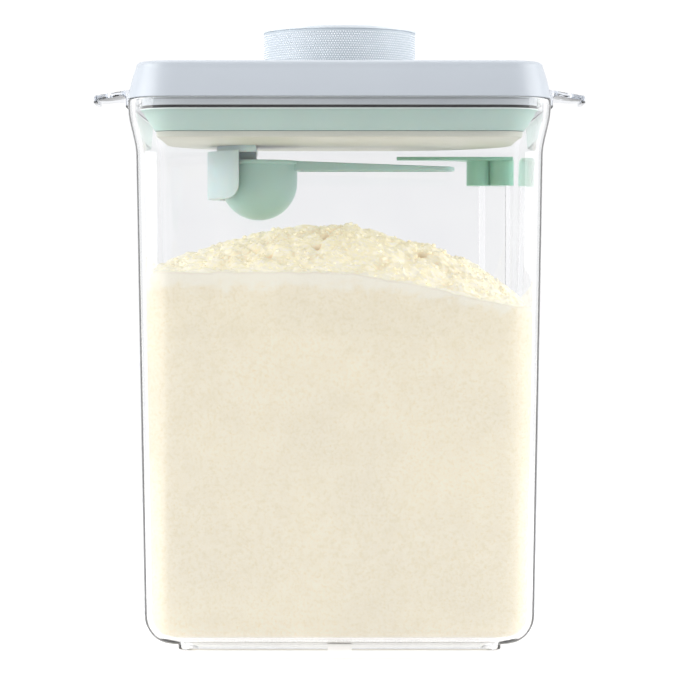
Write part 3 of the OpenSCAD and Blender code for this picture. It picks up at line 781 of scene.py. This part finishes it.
def make_powder():
    """The contents: packed powder against the walls and a loose heap, as one closed skin.

    Three attributes steer its material: hollow, painted shade in pits and creases; veil,
    where dust films the wall; and crown on the heap, with whiter colours that are partly
    painted light, and a stronger painted glow.
    """
    side, steps = 100, 16
    side_rings, top_rings = 20, 112
    plan = section(inner_hw(120) - POWDER_GAP, side=side, steps=steps)
    n = len(plan)
    base_z = FLOOR_Z + POWDER_GAP
    rise = [heap_height(x, y) + clumps(x, y, 0.0)[0] - base_z for x, y in plan]
    # heights of the side's rings as shares of its rise, closest at the base and the top edge
    shares = [0.0, 0.006, 0.015, 0.03, 0.05]
    shares += [0.07 + 0.86 * i / side_rings for i in range(side_rings)]
    shares += [0.93 + 0.07 * i / 9 for i in range(10)]
    rings, hollow, veil, crown = [], [], [], []
    for t in shares:
        ring = []
        walls = {}
        for i in range(n):
            z = base_z + t * rise[i]
            key = round(z, 2)
            if key not in walls:
                walls[key] = section(inner_hw(z) - POWDER_GAP, side=side, steps=steps)
            x, y = walls[key][i]
            ring.append((x, y, z))
            band = VEIL_H * (1 - VEIL_THIN * smooth((x - SLUMP_FROM) / VEIL_THIN_OVER))
            ragged = 0.9 * noise.fractal(Vector((x / 4, y / 4, z / 3)), *FRACTAL)
            above = (z - (settled_height(x) - band)) / VEIL_FADE
            veil.append(VEIL_SHARE * smooth(above + 0.5 + ragged))
        rings.append(ring)
        hollow += [0.0] * n
        crown += [0.0] * n
    # the heap's rings shrink from the wall towards a small one in the middle
    for j in range(1, top_rings):
        s = 1 - (j / top_rings) * 0.985
        ring = []
        for x, y in plan:
            px, py = x * s, y * s
            lift, pit = clumps(px, py, min(1.0, (1 - s) / EDGE_SHARE))
            ring.append((px, py, heap_height(px, py) + lift))
            # hollow: how much painted shade the colour takes here
            hollow.append(pit)
            ragged = noise.fractal(Vector((px / 3, py / 3, 1.0)), *FRACTAL)
            veil.append(VEIL_SHARE * (1 - smooth((1 - s) / VEIL_FOOT + ragged)))
            crown.append(1.0)
        rings.append(ring)
    heap = obj_from("powder_heap", stack(rings))
    for name, values in (("hollow", hollow), ("veil", veil), ("crown", crown)):
        layer = heap.data.attributes.new(name, "FLOAT", "POINT")
        layer.data.foreach_set("value", np.array(values, np.float32))
    return finished(heap, MAT["powder"], "container", "powder", "formula_powder", angle=180)


CRUMBS = 1500
CRUMB_SEED = 41
CRUMB_X = (-58, 58)
CRUMB_Y = (-45, 42)
CRUMB_R = 0.22
CRUMB_SPREAD = 0.75


def make_crumbs():
    """Loose crumbs that lie on the heap, most of them small."""
    rng = random.Random(CRUMB_SEED)
    bm = bmesh.new()
    bmesh.ops.create_icosphere(bm, subdivisions=2, radius=1.0)
    ball = [v.co.copy() for v in bm.verts]
    tris = [tuple(v.index for v in f.verts) for f in bm.faces]
    bm.free()
    verts, faces = [], []
    for _ in range(CRUMBS):
        x, y = rng.uniform(*CRUMB_X), rng.uniform(*CRUMB_Y)
        r = CRUMB_R + CRUMB_SPREAD * rng.random() ** 4
        z = heap_height(x, y) + clumps(x, y, 1.0)[0] + 0.2 * r
        seed = Vector((rng.random() * 50, rng.random() * 50, 3.0))
        base = len(verts)
        for p in ball:
            q = p * r * (0.8 + 0.45 * noise.noise(p * 1.3 + seed))
            verts.append((x + q.x, y + q.y, z + 0.8 * q.z))
        faces += [tuple(i + base for i in t) for t in tris]
    crumbs = obj_from("powder_crumbs", (verts, faces))
    # crown: the heap's whiter colours and its stronger painted glow
    crown = crumbs.data.attributes.new("crown", "FLOAT", "POINT")
    crown.data.foreach_set("value", np.ones(len(verts), np.float32))
    return finished(crumbs, MAT["powder"], "container", "powder", angle=180)


# ---------- lid ----------

LID_EDGE_R = 1.8
LID_WALL = 2.2
LID_LEAN = 2.6
LID_CHAMFER = 0.25
LID_TOP_HW = MOUTH_HW - LID_LEAN
HOLE_R = BUTTON_R + 0.3
HOLE_EDGE = 0.5
COLLAR_R = HOLE_R + 1.5
COLLAR_Z = LID_Z0 + 2.9
POST_X = 48
POST_Y = 36
POST_R = 3.4
POST_BORE = 1.2
POST_Z = TUB_FLOOR_Z + 3.2
POST_TOP = LID_TOP - 1.1


def lid_outside():
    """The cover's outer face from its lower edge to its top: a lean, then a rounded edge."""
    low = [(MOUTH_HW - LID_CHAMFER, LID_Z0), (MOUTH_HW, LID_Z0 + LID_CHAMFER)]
    side = []
    rise = LID_TOP - LID_EDGE_R - LID_Z0 - LID_CHAMFER
    for i in range(1, 9):
        t = i / 8
        lean = LID_LEAN * (0.55 * t + 0.45 * t * t)
        side.append((MOUTH_HW - lean, LID_Z0 + LID_CHAMFER + t * rise))
    edge = arc(LID_TOP_HW - LID_EDGE_R, LID_TOP - LID_EDGE_R, LID_EDGE_R, 0, 90, 8)[1:]
    return low + side + edge


def make_lid_cover():
    """The cover as one closed skin: side wall, top, button hole with collar, and underside."""
    side = 16
    turns = [math.atan2(y, x) for x, y in section(LID_TOP_HW, side=side)]

    def round_ring(r, z):
        return [(r * math.cos(a), r * math.sin(a), z) for a in turns]

    def blended(hw, r, t, z):
        flat = section(hw, side=side)
        return [
            (x + (r * math.cos(a) - x) * t, y + (r * math.sin(a) - y) * t, z)
            for (x, y), a in zip(flat, turns)
        ]

    top_hw = LID_TOP_HW - LID_EDGE_R
    under_z = LID_TOP - LID_WALL
    rings = [[(x, y, z) for x, y in section(hw, side=side)] for hw, z in lid_outside()]
    rings += [blended(top_hw, HOLE_R + HOLE_EDGE, t, LID_TOP) for t in (0.02, 0.5, 1.0)]
    for a in (0.5, 1.0, math.pi / 2):
        r = HOLE_R + HOLE_EDGE * (1 - math.sin(a))
        rings.append(round_ring(r, LID_TOP - HOLE_EDGE * (1 - math.cos(a))))
    rings += [round_ring(HOLE_R, COLLAR_Z), round_ring(COLLAR_R, COLLAR_Z)]
    rings += [round_ring(COLLAR_R, under_z)]
    rings += [blended(top_hw - 0.6, COLLAR_R, t, under_z) for t in (0.5, 0.0)]
    rings += [
        [(x, y, z) for x, y in section(hw, side=side)]
        for hw, z in ((MOUTH_HW - LID_WALL - 1.6, LID_Z0 + 6.9), (MOUTH_HW - LID_WALL, LID_Z0))
    ]
    cover = obj_from("lid_cover_skin", stack(rings, closed=True))
    tube = [(POST_BORE, POST_Z), (POST_R, POST_Z), (POST_R, POST_TOP), (POST_BORE, POST_TOP)]
    for x in (-POST_X, POST_X):
        for y in (-POST_Y, POST_Y):
            carve(cover, "UNION", obj_from("post", lathe(tube, 32, x, y)))
    return finished(cover, MAT["white"], "lid", "white_plastic", "lid_cover", angle=30)


# the dark ring of painted shade in the joint reaches this far above and below the gasket's top
JOINT_UP = 0.6
JOINT_DOWN = 0.35
# height of the pale band of painted highlight on the gasket's top
HIGHLIGHT_BAND_H = 0.35
# the neck band and the dark rings of painted shade stand this far proud of the tub
BAND_PROUD = 0.3
SHADE_RING_PROUD = 0.28
BAND_TOP = LID_Z0 - 0.85


def ring_piece(name, material, body, slot, profile):
    """A ring of the given closed profile, set in a joint."""
    ring = obj_from(name, swept(profile, closed=True))
    return finished(ring, MAT[material], body, slot, angle=30)


def square(inner, outer, z0, z1):
    """A square profile of (half width, z) pairs."""
    return [(inner, z0), (outer, z0), (outer, z1), (inner, z1)]


def make_neck_band():
    """The tub's outer face above the gasket, and dark rings of painted shade in the three joints
    round it.
    """
    hw = NECK_HW
    joint_z = GASKET_TOP + JOINT_UP
    neck = [
        (hw - 1.2, joint_z),
        (hw + 0.2, joint_z),
        (hw + BAND_PROUD, joint_z + 0.1),
        (hw + BAND_PROUD, BAND_TOP - 0.1),
        (hw + 0.25, BAND_TOP),
        (hw - 1.2, BAND_TOP),
    ]
    ring_piece("neck_band", "frame", "lid", "frame_plastic", neck)
    # painted shade: dark rings where the joints lie in shade
    dark = square(hw - 1.1, hw + SHADE_RING_PROUD, GASKET_TOP - JOINT_DOWN, joint_z - 0.02)
    ring_piece("neck_joint_shadow", "gap", "lid", "frame_plastic", dark)
    shade = square(hw - 1, hw + 0.2, BAND_TOP + 0.02, LID_Z0 - 0.05)
    ring_piece("lid_joint_shadow", "gap", "lid", "frame_plastic", shade)
    # painted shade: a dark ring in the joint between the gasket and the plate
    z, inside = GASKET_Z + 0.02, PLATE_HW - 1
    seam_shade = [
        (inside, z - 0.2),
        (PLATE_HW + 0.05, z - 0.2),
        (PLATE_HW + 0.5, z + 0.15),
        (inside, z + 0.15),
    ]
    return ring_piece("plate_joint_shadow", "seam_shade", "plate", "gasket_silicone", seam_shade)


def make_gasket():
    """Silicone seal with a slanted, faintly bulging outer face, and a pale band along its top that
    is a painted highlight.
    """
    z0, z1 = GASKET_Z + 0.03, GASKET_TOP - JOINT_DOWN - 0.02
    edge, bulge = 0.5, 0.12
    inside = TUB_HW + 0.2
    low, high = PLATE_HW + 0.8, NECK_HW + 0.6
    profile = [(inside, z0), (low - 0.9, z0)]
    profile += arc(low - edge, z0 + edge, edge, -90, 0, 5)
    for i in range(1, 9):
        t = i / 9
        x = low + (high - 0.35 - low) * t + bulge * math.sin(math.pi * t)
        profile.append((x, z0 + edge + (z1 - 1.1 - z0) * t))
    profile += arc(high - edge, z1 - edge, edge, 0, 90, 5)
    profile.append((inside, z1))
    seal = obj_from("gasket_seal", swept(profile, closed=True, side=2))
    finished(seal, MAT["gasket"], "lid", "gasket_silicone", "gasket", angle=40)
    # painted highlight: a pale ring along the gasket's top edge
    highlight_band = square(high - 0.6, high + 0.1, z1 - HIGHLIGHT_BAND_H, z1)
    lip = obj_from("gasket_highlight_band", swept(highlight_band, closed=True, side=2))
    finished(lip, MAT["lip"], "lid", "gasket_silicone", angle=40)
    for piece in (seal, lip):
        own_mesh(piece)


def make_springs():
    """Four coil springs whose end turns lie closer together."""
    shapes = []
    height = CARRIER_Z - TUB_FLOOR_Z
    per_turn, around, crowding, clear = 26, 8, 0.05, 0.02
    steps = SPRING_TURNS * per_turn
    bottom = TUB_FLOOR_Z + SPRING_WIRE + clear
    rise = height - 2 * SPRING_WIRE - 2 * clear
    for cx in (-SPRING_POS, SPRING_POS):
        for cy in (-SPRING_POS, SPRING_POS):
            rings = []
            for i in range(steps + 1):
                a = 2 * math.pi * i / per_turn
                t = i / steps
                z = bottom + rise * (t - crowding * math.sin(2 * math.pi * t))
                ring = []
                for k in range(around):
                    b = 2 * math.pi * k / around
                    r = SPRING_R + SPRING_WIRE * math.cos(b)
                    ring.append(
                        (cx + r * math.cos(a), cy + r * math.sin(a), z + SPRING_WIRE * math.sin(b))
                    )
                rings.append(ring)
            shapes.append(stack(rings))
    springs = obj_from("coil_springs", joined(*shapes))
    finished(springs, MAT["steel"], "lid", "steel", "return_springs", angle=50)
    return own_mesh(springs)


# ---------- push button ----------


SLEEVE_WALL = 1.4
CAP_STEP = 0.4


def make_cap():
    """The disc that a thumb presses, with a rounded rim and a shallow dish in the middle."""
    r, low, top = BUTTON_R, 0.25, 0.75
    inner = GRIP_R - SLEEVE_WALL - 0.1
    step_z = CARRIER_TOP + CAP_STEP
    profile = [(0, CARRIER_TOP), (inner, CARRIER_TOP), (inner, step_z), (r - low, step_z)]
    profile += arc(r - low, step_z + low, low, -90, 0, 4)[1:]
    profile += arc(r - top, BUTTON_TOP - top, top, 0, 90, 7)
    profile += [(r - 1.8, BUTTON_TOP), (r - 2.4, BUTTON_TOP - 0.12), (r - 8, BUTTON_TOP - 0.3)]
    profile += [(0, BUTTON_TOP - 0.4)]
    cap = obj_from("button_top", lathe(profile, 160, closed=False))
    return finished(cap, MAT["cap"], "button", "white_plastic", "button_cap", angle=30)


DOT_ROWS = 13
DOTS_ROUND = 190
DOT_R = 0.27
DOT_H = 0.17
DOT_TOP = CARRIER_TOP - 0.75
DOT_PITCH = 0.79
# slot right through the sleeve for the lever ends: half length, half width and height
SLEEVE_SLOT = (40, 3.1, 6.2)


def make_sleeve():
    """The button's side wall, slotted for the levers; the dots stand on it. Its grey, darker than
    the dots, is painted shade between them.
    """
    inner = GRIP_R - SLEEVE_WALL
    top = CARRIER_TOP + 0.38
    profile = [(inner, SKIRT_Z), (GRIP_R - 0.2, SKIRT_Z), (GRIP_R, SKIRT_Z + 0.2)]
    profile += [(GRIP_R, top - 0.3), (GRIP_R - 0.15, top), (inner, top)]
    sleeve = obj_from("button_side", lathe(profile, 160))
    reach, half, height = SLEEVE_SLOT
    slot = block(-reach, reach, -half, half, SKIRT_Z - 1, SKIRT_Z + height)
    carve(sleeve, "DIFFERENCE", obj_from("slot", slot))
    return finished(sleeve, MAT["grip_shaded"], "button", "knob_grip", "button_sleeve", angle=30)


def make_dots():
    """Rows of small raised domes round the button's side, each row offset by half a dot."""
    verts, faces = [], []
    around = 8
    for row in range(DOT_ROWS):
        z0 = DOT_TOP - row * DOT_PITCH
        for k in range(DOTS_ROUND):
            a0 = 2 * math.pi * (k + 0.5 * (row % 2)) / DOTS_ROUND
            base = len(verts)
            for share, lift in ((1.0, -0.05), (0.8, 0.6 * DOT_H), (0.4, 0.93 * DOT_H)):
                for i in range(around):
                    b = 2 * math.pi * i / around
                    r = GRIP_R + lift
                    a = a0 + DOT_R * share * math.cos(b) / GRIP_R
                    z = z0 + DOT_R * share * math.sin(b)
                    verts.append((r * math.cos(a), r * math.sin(a), z))
            r = GRIP_R + DOT_H
            verts.append((r * math.cos(a0), r * math.sin(a0), z0))
            for j in range(2):
                for i in range(around):
                    m = (i + 1) % around
                    faces.append((base + j * around + i, base + j * around + m,
                                  base + (j + 1) * around + m, base + (j + 1) * around + i))
            for i in range(around):
                m = (i + 1) % around
                faces.append((base + 2 * around + i, base + 2 * around + m, base + 3 * around))
            faces.append(tuple(base + around - 1 - i for i in range(around)))
    dots = obj_from("button_dots", (verts, faces))
    return finished(dots, MAT["dots"], "button", "knob_grip", angle=60)


# ---------- plate, scoop and hidden mechanism ----------


PLATE_BACK_R = 44.0
# jaws that the levers' pins ride in: their faces along Y, their ends along X
JAW_Y = (2.8, 4.4)
JAW_X = (33.2, 38.0)
JAW_SLOT_X = 36.4
JAW_ROOF = 3.1
PIN_CLEAR_R = 1.26
# the levers' pivots are this high, and the pins hang below them at rest
PIVOT_Z = 184.3
PIN_ARM = 4.0
PIN_HANG = 20
PEG_X = (-40.5, -33)
PEG_R = 1.55


def make_plate():
    """The sealing plate, with the two pairs of jaws on top and the cradle's peg holes."""
    plate_z = GASKET_Z - PLATE_T
    edge = 0.7
    profile = [(PLATE_HW - edge, plate_z)]
    profile += arc(PLATE_HW - edge, plate_z + edge, edge, -90, 0, 5)[1:]
    profile += arc(PLATE_HW - 0.3, GASKET_Z - 0.3, 0.3, 0, 90, 3)
    plate = obj_from("plate_disc", swept(profile, side=2))
    hd, r = PLATE_HW - DEPTH_STEP, PLATE_BACK_R
    plan = [(-PLATE_HW - 1, -hd - 1), (PLATE_HW + 1, -hd - 1)]
    plan += arc(PLATE_HW - r, hd - r, r, 0, 90, 16) + arc(r - PLATE_HW, hd - r, r, 90, 180, 16)
    carve(plate, "INTERSECT", obj_from("trim", prism_z(plan, plate_z - 1, GASKET_Z + 1)))
    pin_z = PIVOT_Z - PIN_ARM * math.sin(math.radians(PIN_HANG))
    (x0, x1), mid, foot = JAW_X, JAW_SLOT_X, GASKET_Z - 0.5
    high, low = pin_z + PIN_CLEAR_R, pin_z - PIN_CLEAR_R
    jaw = [(x0, foot), (x1, foot), (x1, pin_z + JAW_ROOF), (x0, pin_z + JAW_ROOF)]
    jaw += [(x0, high), (mid, high), (mid, low), (x0, low)]
    for y0, y1 in (JAW_Y, (-JAW_Y[1], -JAW_Y[0])):
        shape = prism_y(jaw, y0, y1)
        carve(plate, "UNION", obj_from("jaw", shape), obj_from("jaw", mirrored(shape)))
    z0, z1 = plate_z - 1, plate_z + 3
    peg = [(0, z0), (PEG_R, z0), (PEG_R, z1), (0, z1)]
    for x in PEG_X:
        hole = lathe(peg, 32, x, BOWL[1], closed=False)
        carve(plate, "DIFFERENCE", obj_from("peg_hole", hole))
    return finished(plate, MAT["plate"], "plate", "plate_plastic", "seal_plate", angle=30)


BOWL_FLANGE = 0.8
BOWL_FLANGE_T = 1.3
HANDLE_SKIN = 1.3
HANDLE_T = 1.4
HANDLE_Z = BOWL_RIM_Z - 3.5
TIP_SHARE = 0.8


def make_scoop():
    """Bowl turned about its axis, with a rolled rim, and a hollow-backed handle."""
    bx, by = BOWL
    centre = BOWL_RIM_Z - BOWL_DEPTH + BOWL_R
    inner_r = BOWL_R - BOWL_WALL
    roll, lip = 0.35, 0.3
    rim_x = BOWL_R + BOWL_FLANGE - roll
    outside = arc(0, centre, BOWL_R, -90, 0, 20)
    outside += [(BOWL_R, BOWL_RIM_Z - 1.5)]
    outside += arc(rim_x, BOWL_RIM_Z - BOWL_FLANGE_T + roll, roll, -90, 0, 4)
    outside += arc(rim_x, BOWL_RIM_Z - roll, roll, 0, 90, 4)
    inside = arc(inner_r + lip, BOWL_RIM_Z - lip, lip, 90, 180, 3)
    inside += arc(0, centre, inner_r, 0, -90, 20)
    bowl = obj_from("scoop_bowl", lathe(outside + inside, 128, bx, by, closed=True))
    z0 = HANDLE_Z
    x0, x1 = bx + BOWL_R - 1.6, bx + HANDLE_REACH
    tip = x1 - HANDLE_HY * TIP_SHARE

    def plan(inset, start):
        hy = HANDLE_HY - inset
        end = [(tip + TIP_SHARE * x, by + y) for x, y in arc(0, 0, hy, -90, 90, 24)]
        return [(start, by - hy)] + end + [(start, by + hy)]

    def outline(skin, drop):
        low = z0 - drop
        return [(x0, low), (x1, low), (x1, z0 + HANDLE_T - skin), (x0, BOWL_RIM_Z - skin)]

    handle = obj_from("handle", prism_z(plan(0, x0 - 1), z0 - 1, z0 + 5))
    carve(handle, "INTERSECT", obj_from("side", prism_y(outline(0, 0), by - 10, by + 10)))
    rounded(handle, 0.35, 3, 40)
    hollow = plan(HANDLE_SKIN, bx + BOWL_R + BOWL_FLANGE)
    pocket = obj_from("pocket", prism_z(hollow, z0 - 2, z0 + 5))
    side = prism_y(outline(HANDLE_SKIN, 1), by - 10, by + 10)
    carve(pocket, "INTERSECT", obj_from("side", side))
    well_r = BOWL_R - 0.6
    core = [(0, z0 - 5), (well_r, z0 - 5), (well_r, z0 + 9), (0, z0 + 9)]
    well = lathe(core, 128, bx, by, closed=False)
    carve(handle, "DIFFERENCE", pocket, obj_from("well", well))
    carve(bowl, "UNION", handle)
    bowl.name = "scoop_body"
    return finished(bowl, MAT["scoop"], "scoop", "scoop_plastic", "scoop", angle=30)


def make_copies():
    """Rounded-edge versions of the CAD parts whose shape is already right.

    Each row: piece, CAD node, material, body, slot, width of the rounding, its segments.
    """
    rows = (
        ("cradle", "scoop_holder", "holder", "plate", "holder_plastic", 0.3, 2),
        ("blade", "leveller", "leveller", "container", "leveller_plastic", 0.3, 2),
        ("inner_tub", "lid_frame", "frame", "lid", "frame_plastic", 0.2, 1),
        ("carrier", "button_carrier", "frame", "button", "frame_plastic", 0.2, 1),
        ("cam", "latch_cam", "mechanism", "button", "mechanism_plastic", 0.15, 1),
        ("follower", "latch_follower", "steel", "latch_follower", "steel", 0.12, 1),
        ("lever_left", "rocker_left", "mechanism", "rocker_left", "mechanism_plastic", 0.25, 2),
        ("lever_right", "rocker_right", "mechanism", "rocker_right", "mechanism_plastic", 0.25, 2),
        ("screws", "lid_screws", "steel", "lid", "steel", 0.12, 1),
        ("pivot_pins", "rocker_pivot_pins", "steel", "lid", "steel", 0.15, 1),
        ("follower_pin", "latch_pivot_pin", "steel", "lid", "steel", 0.1, 1),
        ("jaw_pin_left", "link_pin_left", "steel", "rocker_left", "steel", 0.15, 1),
        ("jaw_pin_right", "link_pin_right", "steel", "rocker_right", "steel", 0.15, 1),
    )
    for name, node, mat, body, slot, width, segments in rows:
        obj = rounded(from_cad(name, node), width, segments)
        finished(obj, MAT[mat], body, slot, node, angle=30)


# ---------- scene ----------


FLOOR_X = 9000
FLOOR_FRONT = -3000
FLOOR_BACK = 16000
# glow of the floor under the box and away from it, and where it fades, in base half widths
FLOOR_GLOW = (0.55, 0.08)
FLOOR_FADE = (0.9, 1.35)


def maths(nt, op, a, b=None):
    """A Math node on sockets or numbers."""
    n = nt.nodes.new("ShaderNodeMath")
    n.operation = op
    for i, v in enumerate((a, b)):
        if isinstance(v, bpy.types.NodeSocket):
            nt.links.new(v, n.inputs[i])
        elif v is not None:
            n.inputs[i].default_value = v
    return n.outputs[0]


def split_axes(nt, vector):
    n = nt.nodes.new("ShaderNodeSeparateXYZ")
    nt.links.new(vector, n.inputs[0])
    return n.outputs


def make_floor():
    """A pale floor that runs far back, with a glow under the box that keeps it pale there."""
    verts = [
        (-FLOOR_X, FLOOR_FRONT, 0),
        (FLOOR_X, FLOOR_FRONT, 0),
        (FLOOR_X, FLOOR_BACK, 0),
        (-FLOOR_X, FLOOR_BACK, 0),
    ]
    floor = obj_from("floor", (verts, [(0, 1, 2, 3)]))
    mat = plastic(
        "floor_surface",
        (234, 234, 235),
        (231, 231, 232),
        rough=(0.29, 0.36),
        grain=200.0,
        grain_depth=0.01,
        wave=2.0,
        wave_depth=0.1,
        sockets={"Emission Color": (1, 1, 1, 1)},
    )
    nt = mat.node_tree
    coords = nt.nodes.new("ShaderNodeTexCoord").outputs["Object"]
    x, y, _ = split_axes(nt, coords)
    aside = maths(nt, "DIVIDE", maths(nt, "ABSOLUTE", x), BASE_HW * MM)
    ahead = maths(nt, "DIVIDE", maths(nt, "ABSOLUTE", y), (BASE_HW - DEPTH_STEP) * MM)
    glow = spread(nt, maths(nt, "MAXIMUM", aside, ahead), *FLOOR_FADE, *FLOOR_GLOW)
    nt.links.new(glow, nt.nodes["Principled BSDF"].inputs["Emission Strength"])
    floor.data.materials.append(mat)


# light tent: level straight ahead of the box and behind it, and what its sides and top add
TENT_FRONT = 0.65
TENT_BACK = 0.97
TENT_SIDES = 0.35
TENT_TOP = 0.4
BACKDROP = 1.05


def background(nt, colour):
    n = nt.nodes.new("ShaderNodeBackground")
    n.inputs["Color"].default_value = colour
    return n


def make_world():
    """White to the camera; for light and reflections a light tent, darker at the front."""
    world = bpy.data.worlds.new("tent")
    bpy.context.scene.world = world
    world.use_nodes = True
    nt = world.node_tree
    nt.nodes.clear()
    out = nt.nodes.new("ShaderNodeOutputWorld")
    x, y, z = split_axes(nt, nt.nodes.new("ShaderNodeTexCoord").outputs["Generated"])
    front = spread(nt, y, -1.0, -0.1, TENT_FRONT, TENT_BACK)
    sides = spread(nt, maths(nt, "ABSOLUTE", x), 0.55, 0.9, 0.0, TENT_SIDES)
    top = spread(nt, z, 0.45, 0.95, 0.0, TENT_TOP)
    level = maths(nt, "ADD", maths(nt, "ADD", front, sides), top)
    tent = background(nt, (0.985, 0.99, 1.0, 1))
    nt.links.new(level, tent.inputs["Strength"])
    white = background(nt, (1, 1, 1, 1))
    white.inputs["Strength"].default_value = BACKDROP
    path = nt.nodes.new("ShaderNodeLightPath")
    mix = nt.nodes.new("ShaderNodeMixShader")
    nt.links.new(path.outputs["Is Camera Ray"], mix.inputs[0])
    nt.links.new(tent.outputs[0], mix.inputs[1])
    nt.links.new(white.outputs[0], mix.inputs[2])
    nt.links.new(mix.outputs[0], out.inputs["Surface"])


# soft lamps: name, place, aim, size in metres, power in watts
LAMPS = (
    ("side_left", (-1.0, -0.28, 0.45), (0, 0, 0.12), (0.8, 0.7), 7.6),
    ("side_right", (1.0, -0.12, 0.45), (0, 0, 0.12), (0.8, 0.7), 5.8),
    ("top", (0.0, 0.25, 1.1), (0, 0.05, 0.1), (0.9, 0.6), 3.0),
)


def area_light(name, at, aim, size, power):
    """A soft lamp that clear plastic doesn't show."""
    data = bpy.data.lights.new(name, "AREA")
    data.shape = "RECTANGLE"
    data.size, data.size_y = size
    data.energy = power
    obj = bpy.data.objects.new(name, data)
    obj.location = at
    obj.rotation_euler = (Vector(aim) - Vector(at)).to_track_quat("-Z", "Y").to_euler()
    obj.visible_transmission = False
    bpy.context.scene.collection.objects.link(obj)


# the camera looks level at the front, in metres and millimetres of focal length
CAMERA_Y = -1.25
CAMERA_Z = 0.1045
LENS = 190.6


def make_camera():
    data = bpy.data.cameras.new("camera")
    data.lens = LENS
    data.sensor_width = 36.0
    data.clip_start = 0.01
    data.clip_end = 60.0
    cam = bpy.data.objects.new("camera", data)
    cam.location = (0.0, CAMERA_Y, CAMERA_Z)
    cam.rotation_euler = (math.radians(90), 0, 0)
    bpy.context.scene.collection.objects.link(cam)
    bpy.context.scene.camera = cam


make_box()
make_powder()
make_crumbs()
make_lid_cover()
make_neck_band()
make_gasket()
make_springs()
make_cap()
make_sleeve()
make_dots()
make_plate()
make_scoop()
make_copies()
make_floor()
make_world()
for lamp in LAMPS:
    area_light(*lamp)
make_camera()
bpy.context.scene.view_settings.view_transform = "Standard"
